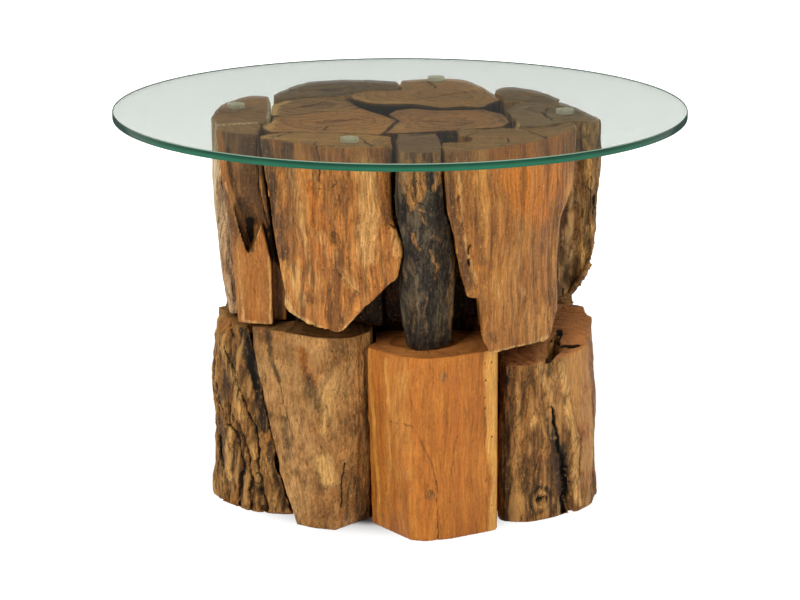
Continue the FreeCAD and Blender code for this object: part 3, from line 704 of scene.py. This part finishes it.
rightBlock = {
    "node": "upper_right_block", "slot": "weathered_teak",
    "voxel": 1.7, "worn": 3, "seed": 6.0, "ragged": 1.2,
    "look": dict(weatheredTeak, deep=(88, 60, 32), mid=(152, 110, 62), light=(204, 160, 102), ridge=0.7,
                 endDeep=(88, 63, 38), endLight=(144, 108, 66), pith=(0.15, 0.0)),
    "swell": (38, 1.6, 8.5), "marks": [("furrow", 24, 4.5, 7.5), ("furrow", 9, 6, 1.6), ("grain", 4, 2, 0.6)],
    "strokes": [
        dark(0.7, 1, (163, 397, 7), (171, 300, 7), (175, 257, 6), (172, 226, 6)),
        pale(0.9, -2, (190, 390, 4), (196, 350, 4), (196, 320, 4), (191, 280, 5)),
        crack(0.9, 6, (201, 322, 4), (200, 302, 4)),
        dark(0.6, 1, (183, 375, 4), (184, 340, 5), (181, 310, 4)),
        pale(0.7, 0, (195, 290, 8), (186, 262, 8)),
        crack(0.8, 3, (173, 226, 2), (172, 219, 2)),
        dark(0.9, 2, (-20, 390, 10), (-15, 320, 8), (-30, 260, 9), view="right"),
        crack(0.9, 6, (10, 395, 2), (5, 330, 2.4), (14, 270, 2), view="right"),
        pale(0.8, -1, (30, 380, 6), (26, 280, 6), view="right"),
    ] + heartChecks(150, 0, (276, 2, 52, 2.8), (72, 4, 30, 2.0), (352, 44, 20, 2.2)),
}
hewBlock(rightBlock)

# upper tier, back and core

backRightBlock = {
    "node": "upper_back_right_block", "slot": "weathered_teak",
    "voxel": 2.0, "worn": 3, "drop": 0.6, "seed": 7.0,
    "look": dict(weatheredTeak, endDeep=(78, 54, 28), endLight=(130, 94, 52), pith=(0.13, 0.1)),
    "swell": (40, 2.5, 6), "marks": [("furrow", 18, 8, 5), ("grain", 5, 6, 1)],
    "strokes": [
        crack(1, 5, (85, 395, 2), (92, 330, 2.4), (86, 240, 2), view="right"),
        pale(0.8, 0, (110, 380, 8), (114, 250, 8), view="right"),
        dark(0.8, 1, (140, 390, 8), (148, 300, 7), (142, 230, 9), view="back"),
        pale(0.9, -0.6, (112, 395, 8), (108, 300, 9), (114, 215, 8), view="back"),
        dark(1.2, 1, (60, 330, 7), (64, 270, 10), (60, 215, 9), view="right"),
        dark(0.7, 0, (110, 72, 6), (130, 70, 5), (168, 68, 5), view="top"),
    ] + knot("back", 128, 290, 11) + heartChecks(130, 100, (24, 40, 6, 2.6), (206, 0, 24, 2.0)),
}
hewBlock(backRightBlock)

backBlock = {
    "node": "upper_back_block", "slot": "smooth_teak", "voxel": 2.2, "worn": 3, "seed": 8.0,
    "look": dict(sawnTeak, endDeep=(106, 67, 28), endLight=(174, 118, 56), pith=(0.05, 0.1), checks=0.4),
    "swell": (55, 2.5, 5), "marks": [("furrow", 22, 10, 3.4), ("grain", 6, 9, 1)],
    "strokes": [
        crack(1, 4, (70, 390, 2), (66, 320, 2), (72, 250, 1.6), view="back"),
        dark(0.7, 0.5, (14, 390, 7), (20, 310, 8), (14, 220, 9), view="back"),
        warm(0.8, 0, (46, 380, 10), (50, 260, 10), view="back"),
        # painted shade: the front wall, down in the gap behind the core blocks, painted near black
        crack(1.3, 0, (-60, 386, 20), (120, 386, 20)),
        crack(1.3, 0, (-60, 290, 130), (120, 290, 130)),
        pale(0.8, -0.6, (92, 395, 7), (88, 300, 8), (94, 215, 8), view="back"),
        pale(0.4, 0, (-48, 84, 9), (-34, 60, 9), (10, 52, 9), view="top"),
        dark(0.5, 0, (8, 176, 6), (10, 140, 6), (0, 122, 5), view="top"),
    ] + heartChecks(50, 100, (35, 2, 52, 3.0), (104, 84, 30, 2.8), (224, 2, 40, 2.4)),
}
hewBlock(backBlock)

backLeftBlock = {
    "node": "upper_back_left_block", "slot": "weathered_teak",
    "voxel": 2.2, "worn": 3, "drop": 0.3, "seed": 9.0,
    "look": dict(weatheredTeak, endDeep=(74, 53, 29), endLight=(126, 90, 51), pith=(-0.07, 0.135)),
    "swell": (46, 2.2, 7), "marks": [("furrow", 20, 6, 6), ("grain", 5, 5, 1.2)],
    "strokes": [
        crack(1, 6, (-40, 395, 2.4), (-34, 320, 2.8), (-40, 240, 2), view="back"),
        dark(0.85, 1, (-60, 390, 9), (-70, 300, 8), (-62, 215, 10), view="back"),
        pale(0.8, -0.5, (-20, 380, 7), (-14, 270, 8), view="back"),
        crack(1, 5, (120, 390, 2), (128, 310, 2), (122, 240, 2), view="left"),
        pale(0.9, -0.6, (92, 390, 8), (98, 300, 8), (90, 215, 9), view="left"),
        dark(1.3, 1, (-104, 300, 9), (-108, 255, 12), (-102, 212, 10), view="back"),
        dark(0.7, 0.5, (-136, 70, 4), (-110, 90, 4), (-70, 96, 4), (-48, 118, 5), (-4, 134, 5), view="top"),
    ] + knot("back", -84, 340, 12) + heartChecks(-70, 135, (190, 2, 52, 2.6), (32, 6, 40, 2.0)),
}
hewBlock(backLeftBlock)

coreBlock = {  # what the core blocks share
    "voxel": 2.0, "worn": 2, "plump": 2.5, "swell": (50, 2.5, 4),
    "marks": [("furrow", 20, 9, 3), ("grain", 6, 6, 1)],
}

coreLeft = {
    **coreBlock, "node": "upper_core_left", "slot": "weathered_teak", "drop": 0.9, "seed": 10.0,
    "look": dict(shadedInnerTeak, endDeep=(98, 62, 28), endLight=(162, 110, 54), pith=(-0.09, 0.045)),
    "swell": (45, 2.5, 5), "marks": [("furrow", 20, 8, 3.5), ("grain", 6, 6, 1)],
    "strokes": [
        pale(0.9, -0.4, (-132, -10, 6), (-132, 40, 7), (-120, 64, 6), view="top"),
        dark(0.45, 0, (-98, 56, 14), (-78, 56, 14), view="top"),
        pale(0.4, 0, (-106, 24, 8), (-80, 14, 8), (-56, 14, 8), view="top"),
    ] + heartChecks(-90, 45, (222, 0, 46, 2.8), (66, 4, 26, 2.0)),
}
hewBlock(coreLeft)

coreFront = {
    **coreBlock, "node": "upper_core_front", "slot": "smooth_teak", "drop": 0.5, "seed": 11.0,
    "look": dict(shadedInnerTeak, endDeep=(116, 70, 28), endLight=(186, 122, 56), pith=(-0.07, -0.05)),
    "strokes": [
        dark(0.5, 0, (-130, -40, 6), (-110, -18, 4), (-80, 0, 3), (-50, 14, 3), view="top"),
        pale(0.7, 0, (-130, -50, 6), (-132, -90, 6), view="top"),
        pale(0.4, 0, (-110, -98, 9), (-70, -104, 9), (-30, -106, 9), view="top"),
    ] + heartChecks(-70, -50, (18, 2, 62, 3.0), (186, 0, 46, 2.4), (262, 46, 26, 2.0)),
}
hewBlock(coreFront)

coreRight = {
    **coreBlock, "node": "upper_core_right", "slot": "smooth_teak", "drop": 1.2, "seed": 12.0,
    "look": dict(shadedInnerTeak, endDeep=(108, 66, 28), endLight=(174, 114, 54), pith=(0.05, -0.05)),
    "strokes": [
        dark(0.6, 0, (100, -10, 7), (106, -50, 6), view="top"),
        pale(0.4, 0, (66, -84, 8), (90, -76, 8), (108, -62, 8), view="top"),
        pale(0.4, 0, (-6, -40, 8), (0, -90, 9), view="top"),
    ] + heartChecks(50, -50, (168, 0, 50, 2.8), (332, 6, 40, 2.0)),
}
hewBlock(coreRight)

# lower tier, front

gnarledBlock = {
    "node": "lower_gnarled_block", "slot": "weathered_teak",
    "voxel": 1.5, "worn": 3, "seed": 13.0, "ragged": 1.2,
    "lean": 0.24,
    "look": dict(weatheredTeak, deep=(84, 54, 26), mid=(150, 103, 50), light=(204, 152, 86),
                 valley=0.75, ridge=0.6, checks=0.6, pith=(-0.1, -0.04)),
    "swell": (36, 2.6, 8), "marks": [("furrow", 18, 10, 8), ("furrow", 8, 9, 2.8), ("grain", 4, 6, 0.6)],
    "strokes": [
        dark(1.5, 1.5, (-162, 197, 8), (-154, 175, 11), (-151, 149, 9), (-143, 118, 8), (-137, 93, 6)),
        crack(1.1, 0.5, (-156, 185, 5), (-153, 160, 5), (-148, 135, 4)),
        crack(0.6, 2, (-175, 191, 3), (-173, 185, 3)),
        dark(0.9, 2, (-193, 124, 5), (-190, 106, 5)),
        dark(0.9, 2, (-192, 66, 5), (-190, 38, 5)),
        pale(1, -1.5, (-177, 84, 3.5), (-178, 54, 5.5), (-181, 28, 4)),
        crack(0.7, 4, (-185, 171, 1.6), (-162, 123, 2), (-149, 78, 2.4), (-141, 0, 2.6)),
        crack(0.7, 5, (-192, 108, 1.6), (-171, 81, 2.4), (-163, 42, 2.6), (-170, 2, 2.4)),
        crack(0.6, 4, (-179, 109, 1.6), (-160, 76, 2), (-156, 34, 2), (-155, 0, 2.4)),
        dark(0.8, 1, (-135, 75, 7), (-125, 27, 9), (-121, 10, 9)),
        dark(0.6, 0.5, (-170, 70, 5), (-164, 30, 6)),
        pale(0.7, 0, (-182, 170, 7), (-172, 130, 8), (-164, 100, 6)),
        pale(0.6, 0, (-152, 70, 4), (-148, 30, 5)),
        warm(0.7, 0, (-186, -60, 10), (-176, -80, 10), view="top"),
        crack(0.9, 5, (-70, 180, 2), (-62, 110, 2.4), (-72, 0, 2.6), view="left"),
        crack(0.8, 5, (-36, 190, 1.8), (-30, 120, 2.4), (-40, 30, 2), view="left"),
        dark(0.9, 1.5, (-50, 180, 7), (-52, 90, 6), (-46, 20, 9), view="left"),
        pale(0.8, 0, (-24, 170, 6), (-20, 60, 7), view="left"),
    ],
}
hewBlock(gnarledBlock)

taperedLog = {
    "node": "lower_tapered_log", "slot": "smooth_teak", "voxel": 1.5, "worn": 3, "seed": 14.0,
    "look": dict(weatheredTeak, deep=(110, 74, 38), mid=(160, 112, 60), light=(192, 144, 86),
                 blotch=0.8, fibre=0.35, speck=0.6, checks=0.2, valley=0.3, ridge=0.35, lines=0.15,
                 stretch=0.16, pith=(-0.08, -0.12)),
    "swell": (46, 1.8, 5), "marks": [("furrow", 24, 3, 2), ("grain", 6, 2.4, 1.3), ("grain", 3, 1.5, 0.7)],
    "strokes": [
        dark(0.85, 0.6, (-136, 200, 6), (-131, 173, 5), (-124, 150, 4)),
        dark(0.6, 0, (-94, 154, 14), (-84, 134, 14)),
        warm(0.85, 0.5, (-99, 184, 11), (-91, 158, 12)),
        pale(0.9, 0, (-78, 72, 14), (-74, 56, 14)),
        pale(0.6, 0, (-78, 104, 7), (-74, 150, 7)),
        dark(0.7, 0.8, (-120, 112, 5), (-116, 68, 5)),
        crack(1, 1.2, (-57, 72, 1), (-60, 24, 1.1)),
        dark(0.6, 0.4, (-50, 66, 3), (-55, 8, 3)),
        dark(0.6, 0, (-44, 50, 9), (-38, 5, 12)),
        dark(0.4, 0.3, (-50, 170, 10), (-46, 100, 9)),
        crack(0.5, 1.2, (-128, 160, 1), (-116, 120, 1), (-110, 90, 0.9)),
    ],
}
hewBlock(taperedLog)

smoothBlock = {
    "node": "lower_smooth_block", "with": ["round_pegs"], "slot": "smooth_teak", "voxel": 1.5, "worn": 2,
    "seed": 15.0, "ragged": 0.5, "calm": [(30, 49.2, 8), (43, 172.2, 8)],
    "look": dict(sawnTeak, deep=(158, 90, 31), mid=(180, 108, 38), light=(202, 130, 54),
                 pale=(216, 156, 76), dark=(122, 70, 28), endDeep=(134, 78, 36), endLight=(186, 120, 62),
                 rings=0.3, ringSize=0.012, fibre=0.25, lines=0.25, speck=0.35, valley=0.12, ridge=0.1,
                 bump=0.4, blotch=0.4, pith=(0.02, -0.14)),
    "swell": (80, 3, 2), "marks": [("grain", 9, 16, 0.4), ("grain", 3.5, 10, 0.15)],
    "strokes": [
        pale(0.9, 0, (94, 192, 13), (95, 132, 12), (95, 91, 11), (98, 56, 8), (97, 0, 10)),
        dark(0.6, 0.2, (82, 190, 1.3), (85, 132, 1.3), (86, 91, 1.3), (91, 56, 1.3), (89, 2, 1.3)),
        crack(0.45, 0.2, (-9, 121, 1), (-1, 121, 0.8)),
        dark(0.8, 0, (2, 122, 1.5), (12, 121, 1.6), (19, 112, 1.6), (26, 96, 1.6), (33, 76, 1.6),
             (38, 50, 1.6)),
        dark(0.6, 0, (8, 190, 1.5), (10, 150, 1.5), (18, 126, 1.5)),
        dark(0.6, 0, (58, 190, 1.5), (60, 130, 1.5), (54, 90, 1.5), (50, 40, 1.5)),
        crack(0.6, 0.6, (36, 68, 0.7), (38, 30, 0.9), (38, 0, 1.1)),
        pale(0.5, 0, (-14, 185, 3), (-12, 140, 3), (-10, 90, 3), (-12, 40, 3)),
        pale(0.6, 0, (-32, 190, 3), (-20, 0, 3)),
        pale(0.35, 0, (0, 170, 14), (4, 70, 16)),
        warm(0.5, 0, (56, 180, 16), (60, 60, 14)),
    ] + [crack(0.8, 0.5, (x, z, 1.2), (x, z + 0.6, 1.2)) for x, z in (
        (86, 179), (92, 179), (86, 143), (86, 132), (94, 100), (88, 55), (94, 28), (87, 162))],
}
hewBlock(smoothBlock)

splitLog = {
    "node": "lower_split_log", "slot": "weathered_teak", "voxel": 1.6, "worn": 3, "seed": 16.0, "ragged": 0.9,
    "calm": [(190, 160, 18), (196, 110, 14), (196, 60, 12)],
    "look": dict(weatheredTeak, deep=(88, 58, 28), mid=(146, 98, 48), light=(196, 146, 82),
                 pale=(200, 150, 86), warm=(180, 116, 64), endDeep=(122, 76, 44), endLight=(184, 122, 74),
                 valley=0.55, checks=0.4, pith=(0.158, -0.1)),
    "swell": (42, 2.2, 6), "marks": [("furrow", 19, 6, 4.5), ("furrow", 8, 6, 1.6), ("grain", 4, 3, 0.6)],
    "strokes": [
        dark(1.1, 1, (156, 107, 7), (166, 65, 11), (170, 2, 12)),
        crack(1, 5, (155, 120, 1.2), (160, 100, 2.4), (169, 65, 3.6), (173, 2, 4.6)),
        pale(0.6, 0, (150, 165, 5), (153, 140, 5), (158, 118, 4)),
        pale(0.9, -1, (164, 165, 5), (174, 115, 6), (181, 79, 6), (186, 8, 6)),
        crack(0.6, 2, (190, 84, 1.2), (187, 60, 1.6), (186, 40, 1.2)),
        warm(1, 0, (184, 184, 20), (192, 135, 21), (198, 80, 16), (198, 30, 12)),
        pale(0.4, 0, (196, 60, 8), (198, 12, 8)),
        pale(0.7, 0, (138, 110, 6), (138, 100, 5)),
        pale(0.7, -0.6, (141, 176, 5), (146, 160, 6), (150, 140, 4)),
        dark(0.8, 0.6, (107, 178, 8), (109, 77, 9), (113, 5, 10)),
        dark(0.6, 0.6, (128, 70, 8), (130, 40, 9), (134, 8, 9)),
        pale(0.6, 0, (118, 150, 4), (122, 110, 4), (120, 60, 4)),
        crack(1.2, 2, (151, -137, 4), (160, -105, 8), (184, -98, 4), view="top"),
        crack(1.2, 2, (160, -105, 8), (166, -64, 4), view="top"),
        crack(0.9, 5, (-60, 170, 2), (-66, 100, 2.4), (-58, 10, 3), view="right"),
        pale(0.8, 0, (-88, 150, 6), (-84, 40, 7), view="right"),
    ] + knot("front", 145, 22, 11),
}
hewBlock(splitLog)

# lower tier, back and core

barkBlock = {  # what the rough lower blocks share
    "slot": "weathered_teak", "voxel": 2.1, "worn": 5, "ragged": 1.6,
    "swell": (42, 2.5, 8), "marks": [("furrow", 20, 5, 7), ("grain", 6, 5, 1.6)],
}

lowerBackRight = {
    **barkBlock, "node": "lower_back_right_block", "seed": 17.0,
    "look": dict(weatheredTeak, pith=(0.13, 0.05)),
    "strokes": [
        dark(0.9, 1.5, (20, 190, 8), (26, 100, 9), (18, 10, 10), view="right"),
        crack(1, 6, (44, 190, 2.4), (50, 100, 3), (40, 0, 3), view="right"),
        pale(0.8, -0.6, (66, 170, 6), (72, 50, 8), view="right"),
        crack(0.9, 5, (165, 190, 2), (160, 100, 2.6), (170, 10, 2.4), view="back"),
        dark(1.2, 1, (140, 120, 8), (146, 70, 12), (140, 15, 10), view="back"),
    ] + knot("right", 86, 120, 12),
}
hewBlock(lowerBackRight)

lowerBack = {
    "node": "lower_back_block", "slot": "weathered_teak",
    "voxel": 2.3, "worn": 5, "seed": 18.0, "ragged": 1.4,
    "look": dict(sawnTeak, mid=(168, 108, 52), checks=0.4, valley=0.6, ridge=0.4, pith=(0.03, 0.14)),
    "swell": (46, 2.5, 7), "marks": [("furrow", 22, 7, 5), ("grain", 6, 7, 1.4)],
    "strokes": [
        dark(0.8, 1, (80, 200, 10), (86, 110, 9), (78, 10, 12), view="back"),
        crack(1, 6, (44, 200, 2.2), (38, 110, 3), (46, 0, 3), view="back"),
        warm(0.8, 0, (-14, 180, 12), (-8, 60, 12), view="back"),
        pale(0.7, 0, (110, 180, 8), (116, 60, 9), view="back"),
        dark(0.7, 0.5, (-60, 160, 8), (-54, 40, 9), view="back"),
        pale(0.9, -0.6, (-34, 200, 9), (-30, 100, 10), (-36, 0, 9), view="back"),
    ] + knot("back", 16, 84, 13),
}
hewBlock(lowerBack)

lowerBackLeft = {
    **barkBlock, "node": "lower_back_left_block", "seed": 19.0,
    "look": dict(weatheredTeak, pith=(-0.11, 0.11)),
    "strokes": [
        dark(0.9, 1, (-110, 200, 8), (-104, 110, 8), (-112, 10, 9), view="back"),
        crack(1, 6, (120, 195, 2.4), (126, 100, 3), (118, 0, 3), view="left"),
        pale(0.8, 0, (138, 180, 6), (142, 60, 7), view="left"),
        dark(1.3, 1.5, (-82, 90, 9), (-86, 45, 13), (-80, 0, 11), view="back"),
        pale(0.9, -0.6, (-128, 195, 7), (-132, 100, 8), (-126, 10, 8), view="back"),
    ] + knot("back", -98, 150, 11),
}
hewBlock(lowerBackLeft)

lowerLeft = {
    **barkBlock, "node": "lower_left_block", "seed": 20.0,
    "look": dict(weatheredTeak, pith=(-0.14, 0.04)),
    "strokes": [
        dark(0.9, 1.5, (10, 190, 8), (18, 100, 9), (8, 10, 10), view="left"),
        crack(1, 6, (52, 190, 2.4), (58, 100, 3), (48, 0, 3), view="left"),
        pale(0.8, -0.6, (76, 170, 6), (80, 50, 8), view="left"),
        dark(1.2, 1, (92, 110, 7), (96, 60, 10), (90, 10, 9), view="left"),
    ] + knot("left", 34, 130, 11),
}
hewBlock(lowerLeft)

lowerCore = {
    "node": "lower_core", "slot": "weathered_teak", "voxel": 3.0, "worn": 3, "plump": 3.0, "seed": 21.0,
    "look": shadedInnerTeak,
    "swell": (50, 2.5, 4), "marks": [("furrow", 22, 6, 4)],
    "strokes": [],
}
hewBlock(lowerCore)

# glass top

glassTop = {
    "radius": 0.3, "thickness": 0.008, "underside": 0.402, "arris": 0.001, "sides": 256,
    "sharp": 60.0,  # degrees, an edge this sharp gets the arris
    "tone": (0.918, 0.972, 0.918, 1.0), "shadowTone": (0.86, 0.91, 0.87, 1.0),
    "bending": 1.52, "smear": 0.012,
    "edgeDark": tint(6, 54, 39), "edgeLight": tint(24, 98, 70), "arrisTone": tint(132, 150, 132),
    "edgeAway": tint(62, 80, 73), "edgeRough": 0.25,
}


def glassFinish():
    finish, wire, shader, place = newFinish("clearGlass")
    smear = wire.remap(wire.noise(place, 6.0), 0.45, 0.75, 0.0, glassTop["smear"])
    wire.feedAll(shader.inputs, {
        "Base Color": glassTop["tone"], "Transmission Weight": 1.0,
        "IOR": glassTop["bending"], "Roughness": smear,
    })
    through = wire.run("BsdfTransparent", [glassTop["shadowTone"]])
    shadow = wire.put("LightPath").outputs["Is Shadow Ray"]
    swap = wire.run("MixShader", [shadow, shader.outputs[0], through])
    wire.feed(finish.node_tree.nodes["Material Output"].inputs["Surface"], swap)
    return finish


def glassEdgeFinish():  # light that has run a long way through the pane
    finish, wire, shader, place = newFinish("glassEdge")
    level = wire.run("SeparateXYZ", [place], "Z")
    low, high = glassTop["underside"], glassTop["underside"] + glassTop["thickness"]
    band = wire.remap(level, low + 0.3 * (high - low), low + 0.7 * (high - low), 1.0, 0.0, True)
    drift = wire.noise(wire.scaled(place, (1.0, 1.0, 4.0)), 12.0)
    share = wire.plus(wire.times(band, 0.7), wire.remap(drift, 0.35, 0.65, 0.0, 0.3))
    body = wire.mix(share, glassTop["edgeDark"], glassTop["edgeLight"])
    # painted highlight along the top arris
    rim = wire.remap(level, high - glassTop["arris"], high - 0.5 * glassTop["arris"])
    edge = wire.mix(rim, body, glassTop["arrisTone"])
    # painted reflection: darker where the edge turns away from view, standing in for the dark room it mirrors
    # there
    turned = wire.put("LayerWeight").outputs["Facing"]
    away = wire.remap(turned, 0.4, 0.8, soft=True)
    wire.feedAll(shader.inputs, {
        "Base Color": wire.mix(away, edge, glassTop["edgeAway"]), "Roughness": glassTop["edgeRough"],
        "Specular IOR Level": wire.remap(turned, 0.3, 0.7, 0.2, 0.0),
    })
    return finish


def buildGlass():
    bpy.ops.object.select_all(action="DESELECT")
    centre = glassTop["underside"] + 0.5 * glassTop["thickness"]
    bpy.ops.mesh.primitive_cylinder_add(vertices=glassTop["sides"], radius=glassTop["radius"],
                                        depth=glassTop["thickness"], location=(0.0, 0.0, centre))
    pane = bpy.context.object
    pane.name = "glassPane"
    bpy.ops.object.transform_apply(location=True, rotation=True, scale=True)
    applyModifier(pane, "BEVEL", width=glassTop["arris"], segments=3, limit_method="ANGLE",
                  angle_limit=math.radians(glassTop["sharp"]))
    pane.data.materials.append(glassFinish())
    pane.data.materials.append(glassEdgeFinish())
    pickOnly(pane)
    bpy.ops.object.shade_smooth()
    for face in pane.data.polygons:
        upright = abs(face.normal.z)
        face.material_index = 1 if upright < 0.97 else 0
        face.use_smooth = upright < 0.99  # both faces of the pane stay flat
    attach(pane, "glass")
    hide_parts("glass_top")
    print("glass cut:", len(pane.data.polygons), "faces")


buildGlass()

# clear pads

clearPads = {
    "radius": 0.0095, "height": 0.005, "floor": 0.397, "bevel": 0.0011, "sides": 48,
    "lip": 0.0035, "dimple": 0.0008, "dimpleLip": 0.0012, "sharp": 50.0, "smoothAngle": 40.0,
    "places": [(-0.173, 0.022), (-0.05, -0.162), (0.04, 0.186), (0.172, -0.01)],
    "tone": (0.92, 0.86, 0.68, 1.0), "haze": tint(228, 216, 180), "clearness": 0.62, "bending": 1.45,
}


def padFinish():
    finish, wire, shader, place = newFinish("clearPad")
    cloud = wire.noise(place, 300.0)
    wire.feedAll(shader.inputs, {
        "Base Color": wire.mix(wire.remap(cloud, 0.4, 0.6), clearPads["tone"], clearPads["haze"]),
        "Roughness": wire.remap(cloud, 0.3, 0.7, 0.25, 0.45),
        "Transmission Weight": clearPads["clearness"], "IOR": clearPads["bending"],
    })
    return finish


def buildPads():
    made = []
    for x, y in clearPads["places"]:
        bpy.ops.object.select_all(action="DESELECT")
        bpy.ops.mesh.primitive_cylinder_add(
            vertices=clearPads["sides"], radius=clearPads["radius"], depth=clearPads["height"],
            location=(x, y, clearPads["floor"] + 0.5 * clearPads["height"]))
        pad = bpy.context.object
        bpy.ops.object.transform_apply(location=True, rotation=True, scale=True)
        editFaces(pad, lambda normal: normal.z > 0.9)
        bpy.ops.mesh.inset(thickness=clearPads["lip"])
        bpy.ops.transform.translate(value=(0.0, 0.0, -clearPads["dimple"]))
        bpy.ops.mesh.inset(thickness=clearPads["dimpleLip"])
        bpy.ops.object.mode_set(mode="OBJECT")
        applyModifier(pad, "BEVEL", width=clearPads["bevel"], segments=3, limit_method="ANGLE",
                      angle_limit=math.radians(clearPads["sharp"]))
        made.append(pad)
    pickOnly(*made)
    bpy.ops.object.join()
    pads = bpy.context.object
    pads.name = "clearPads"
    bpy.ops.object.shade_smooth_by_angle(angle=math.radians(clearPads["smoothAngle"]))
    pads.data.materials.append(padFinish())
    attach(pads, "base")
    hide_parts("clear_pads")
    print("pads set:", len(clearPads["places"]))


buildPads()

# round pegs and hidden tenons

roundPegs = {
    "proud": 0.0004, "rim": 0.0009, "rimDark": 0.3, "flatAngle": 3.0,
    "look": dict(sawnTeak, deep=(150, 94, 44), mid=(174, 112, 56), light=(190, 132, 74), dark=(112, 66, 30),
                 speck=0.6, valley=0.0, rings=0.3, pith=(0.036, -0.2)),
}


def buildPegs():
    pegs = copyNode("round_pegs", "roundPegs")
    mergeCorners(pegs)
    bpy.ops.object.mode_set(mode="EDIT")
    bpy.ops.mesh.dissolve_limited(angle_limit=math.radians(roundPegs["flatAngle"]))
    editFaces(pegs, lambda normal: normal.y < -0.6)
    bpy.ops.transform.translate(value=(0.0, -roundPegs["proud"], 0.0))
    bpy.ops.mesh.inset(thickness=roundPegs["rim"])
    bpy.ops.object.mode_set(mode="OBJECT")
    heads = {index for face in pegs.data.polygons if face.select for index in face.vertices}
    corners = range(len(pegs.data.vertices))
    paint(pegs, "dark", [0.0 if index in heads else roundPegs["rimDark"] for index in corners])
    pegs.data.materials.append(woodFinish("pegFinish", roundPegs["look"]))
    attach(pegs, "base")
    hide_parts("round_pegs")
    print("pegs driven")


buildPegs()

hiddenTenons = {
    "nodes": ("upper_tenons", "lower_tenons", "tier_tenons"),
    "look": dict(sawnTeak, mid=(176, 128, 80), light=(200, 156, 104), valley=0.0, pith=(0.3, 0.0)),
}
tenonWood = woodFinish("tenonFinish", hiddenTenons["look"])
for nodeName in hiddenTenons["nodes"]:
    nodes[nodeName].data.materials.clear()
    nodes[nodeName].data.materials.append(tenonWood)
print("tenons finished")

# studio

studio = {
    "cameraPlace": (0.0, -3.0, 0.9677),
    "cameraPitch": 75.65,  # degrees from straight down
    "lens": 130.93, "sensor": 36.0, "farthest": 100.0,
    "floorReach": 14.0,
    "floorColour": (0.86, 0.86, 0.855, 1.0),
    "floorSeen": (0.15, 0.15, 0.149, 1.0),  # with the glow, what the camera sees of the floor
    "floorGlow": (0.5, 1.3, 0.9, 1.45),  # near and far reach, near and far strength
    "underTable": (0.11, 0.2),  # painted shade under the table: the glow starts and is full this far from the middle
    "gapPlace": (-0.03, -0.118, 0.0), "gapReach": (0.02, 0.04),  # painted shade: the floor seen between two logs gets no glow and stays dark
    "room": (0.05, 0.05, 0.05, 1.0),
    "mirrored": (0.056, 0.056, 0.054, 1.0),  # the room as the pane mirrors it
    "aim": (0.0, 0.0, 0.2),
    "lamps": [  # name, place, watts, size, whether the pane lets it be seen
        ("keyLamp", (-1.7, -3.2, 2.4), 103.0, 1.8, False),
        ("fillLamp", (2.2, -2.8, 1.7), 48.0, 1.8, False),
        ("topLamp", (0.0, -0.4, 3.2), 50.0, 2.4, True),
        ("backLeftLamp", (-2.4, 2.2, 3.0), 62.0, 1.6, True),
        ("backRightLamp", (2.4, 2.2, 3.0), 62.0, 1.6, True),
    ],
}


def floorFinish():  # lights the wood as a pale floor does, and looks white with a faint shadow, with painted shade under the table and between two logs
    finish, wire, shader, place = newFinish("paleFloor")
    lighting = wire.put("LightPath").outputs["Is Diffuse Ray"]
    ground = wire.vectors("LENGTH", place, out="Value")
    gap = wire.vectors("DISTANCE", place, studio["gapPlace"], out="Value")
    # painted shade: no glow under the table and in the gap between two logs
    shown = wire.times(wire.remap(ground, *studio["underTable"], soft=True),
                       wire.remap(gap, *studio["gapReach"], soft=True))
    level = wire.remap(ground, *studio["floorGlow"], True)
    glow = wire.times(wire.times(shown, level), wire.maths("SUBTRACT", 1.0, lighting))
    wire.feedAll(shader.inputs, {
        "Base Color": wire.mix(lighting, studio["floorSeen"], studio["floorColour"]), "Roughness": 0.9,
        "Specular IOR Level": 0.0, "Emission Color": (1.0, 1.0, 1.0, 1.0), "Emission Strength": glow,
    })
    return finish


def buildStudio():
    bpy.ops.object.select_all(action="DESELECT")
    bpy.ops.object.camera_add(location=studio["cameraPlace"])
    camera = bpy.context.object
    camera.name = "photoCamera"
    camera.rotation_euler = (math.radians(studio["cameraPitch"]), 0.0, 0.0)
    camera.data.sensor_width = studio["sensor"]
    camera.data.lens = studio["lens"]
    camera.data.clip_end = studio["farthest"]
    bpy.context.scene.camera = camera
    bpy.ops.mesh.primitive_plane_add(size=2.0 * studio["floorReach"])
    floor = bpy.context.object
    floor.name = "studioFloor"
    floor.data.materials.append(floorFinish())
    for name, place, watts, size, seen in studio["lamps"]:
        bpy.ops.object.light_add(type="AREA", location=place)
        lamp = bpy.context.object
        lamp.name = name
        lamp.data.energy = watts
        lamp.data.size = size
        lamp.visible_glossy = False
        lamp.visible_transmission = seen  # a low lamp would glare in the pane
        aim = [goal - start for goal, start in zip(studio["aim"], place)]
        lamp.rotation_euler = (math.acos(-aim[2] / math.hypot(*aim)), 0.0, math.atan2(-aim[0], aim[1]))
    world = bpy.data.worlds.new("studioRoom")
    bpy.context.scene.world = world
    world.use_nodes = True
    wire = Wiring(world.node_tree)
    shiny = wire.put("LightPath").outputs["Is Glossy Ray"]
    backdrop = world.node_tree.nodes["Background"]
    wire.feed(backdrop.inputs["Color"], wire.mix(shiny, studio["room"], studio["mirrored"]))
    bpy.context.scene.view_settings.view_transform = "Standard"
    print("studio built")


buildStudio()
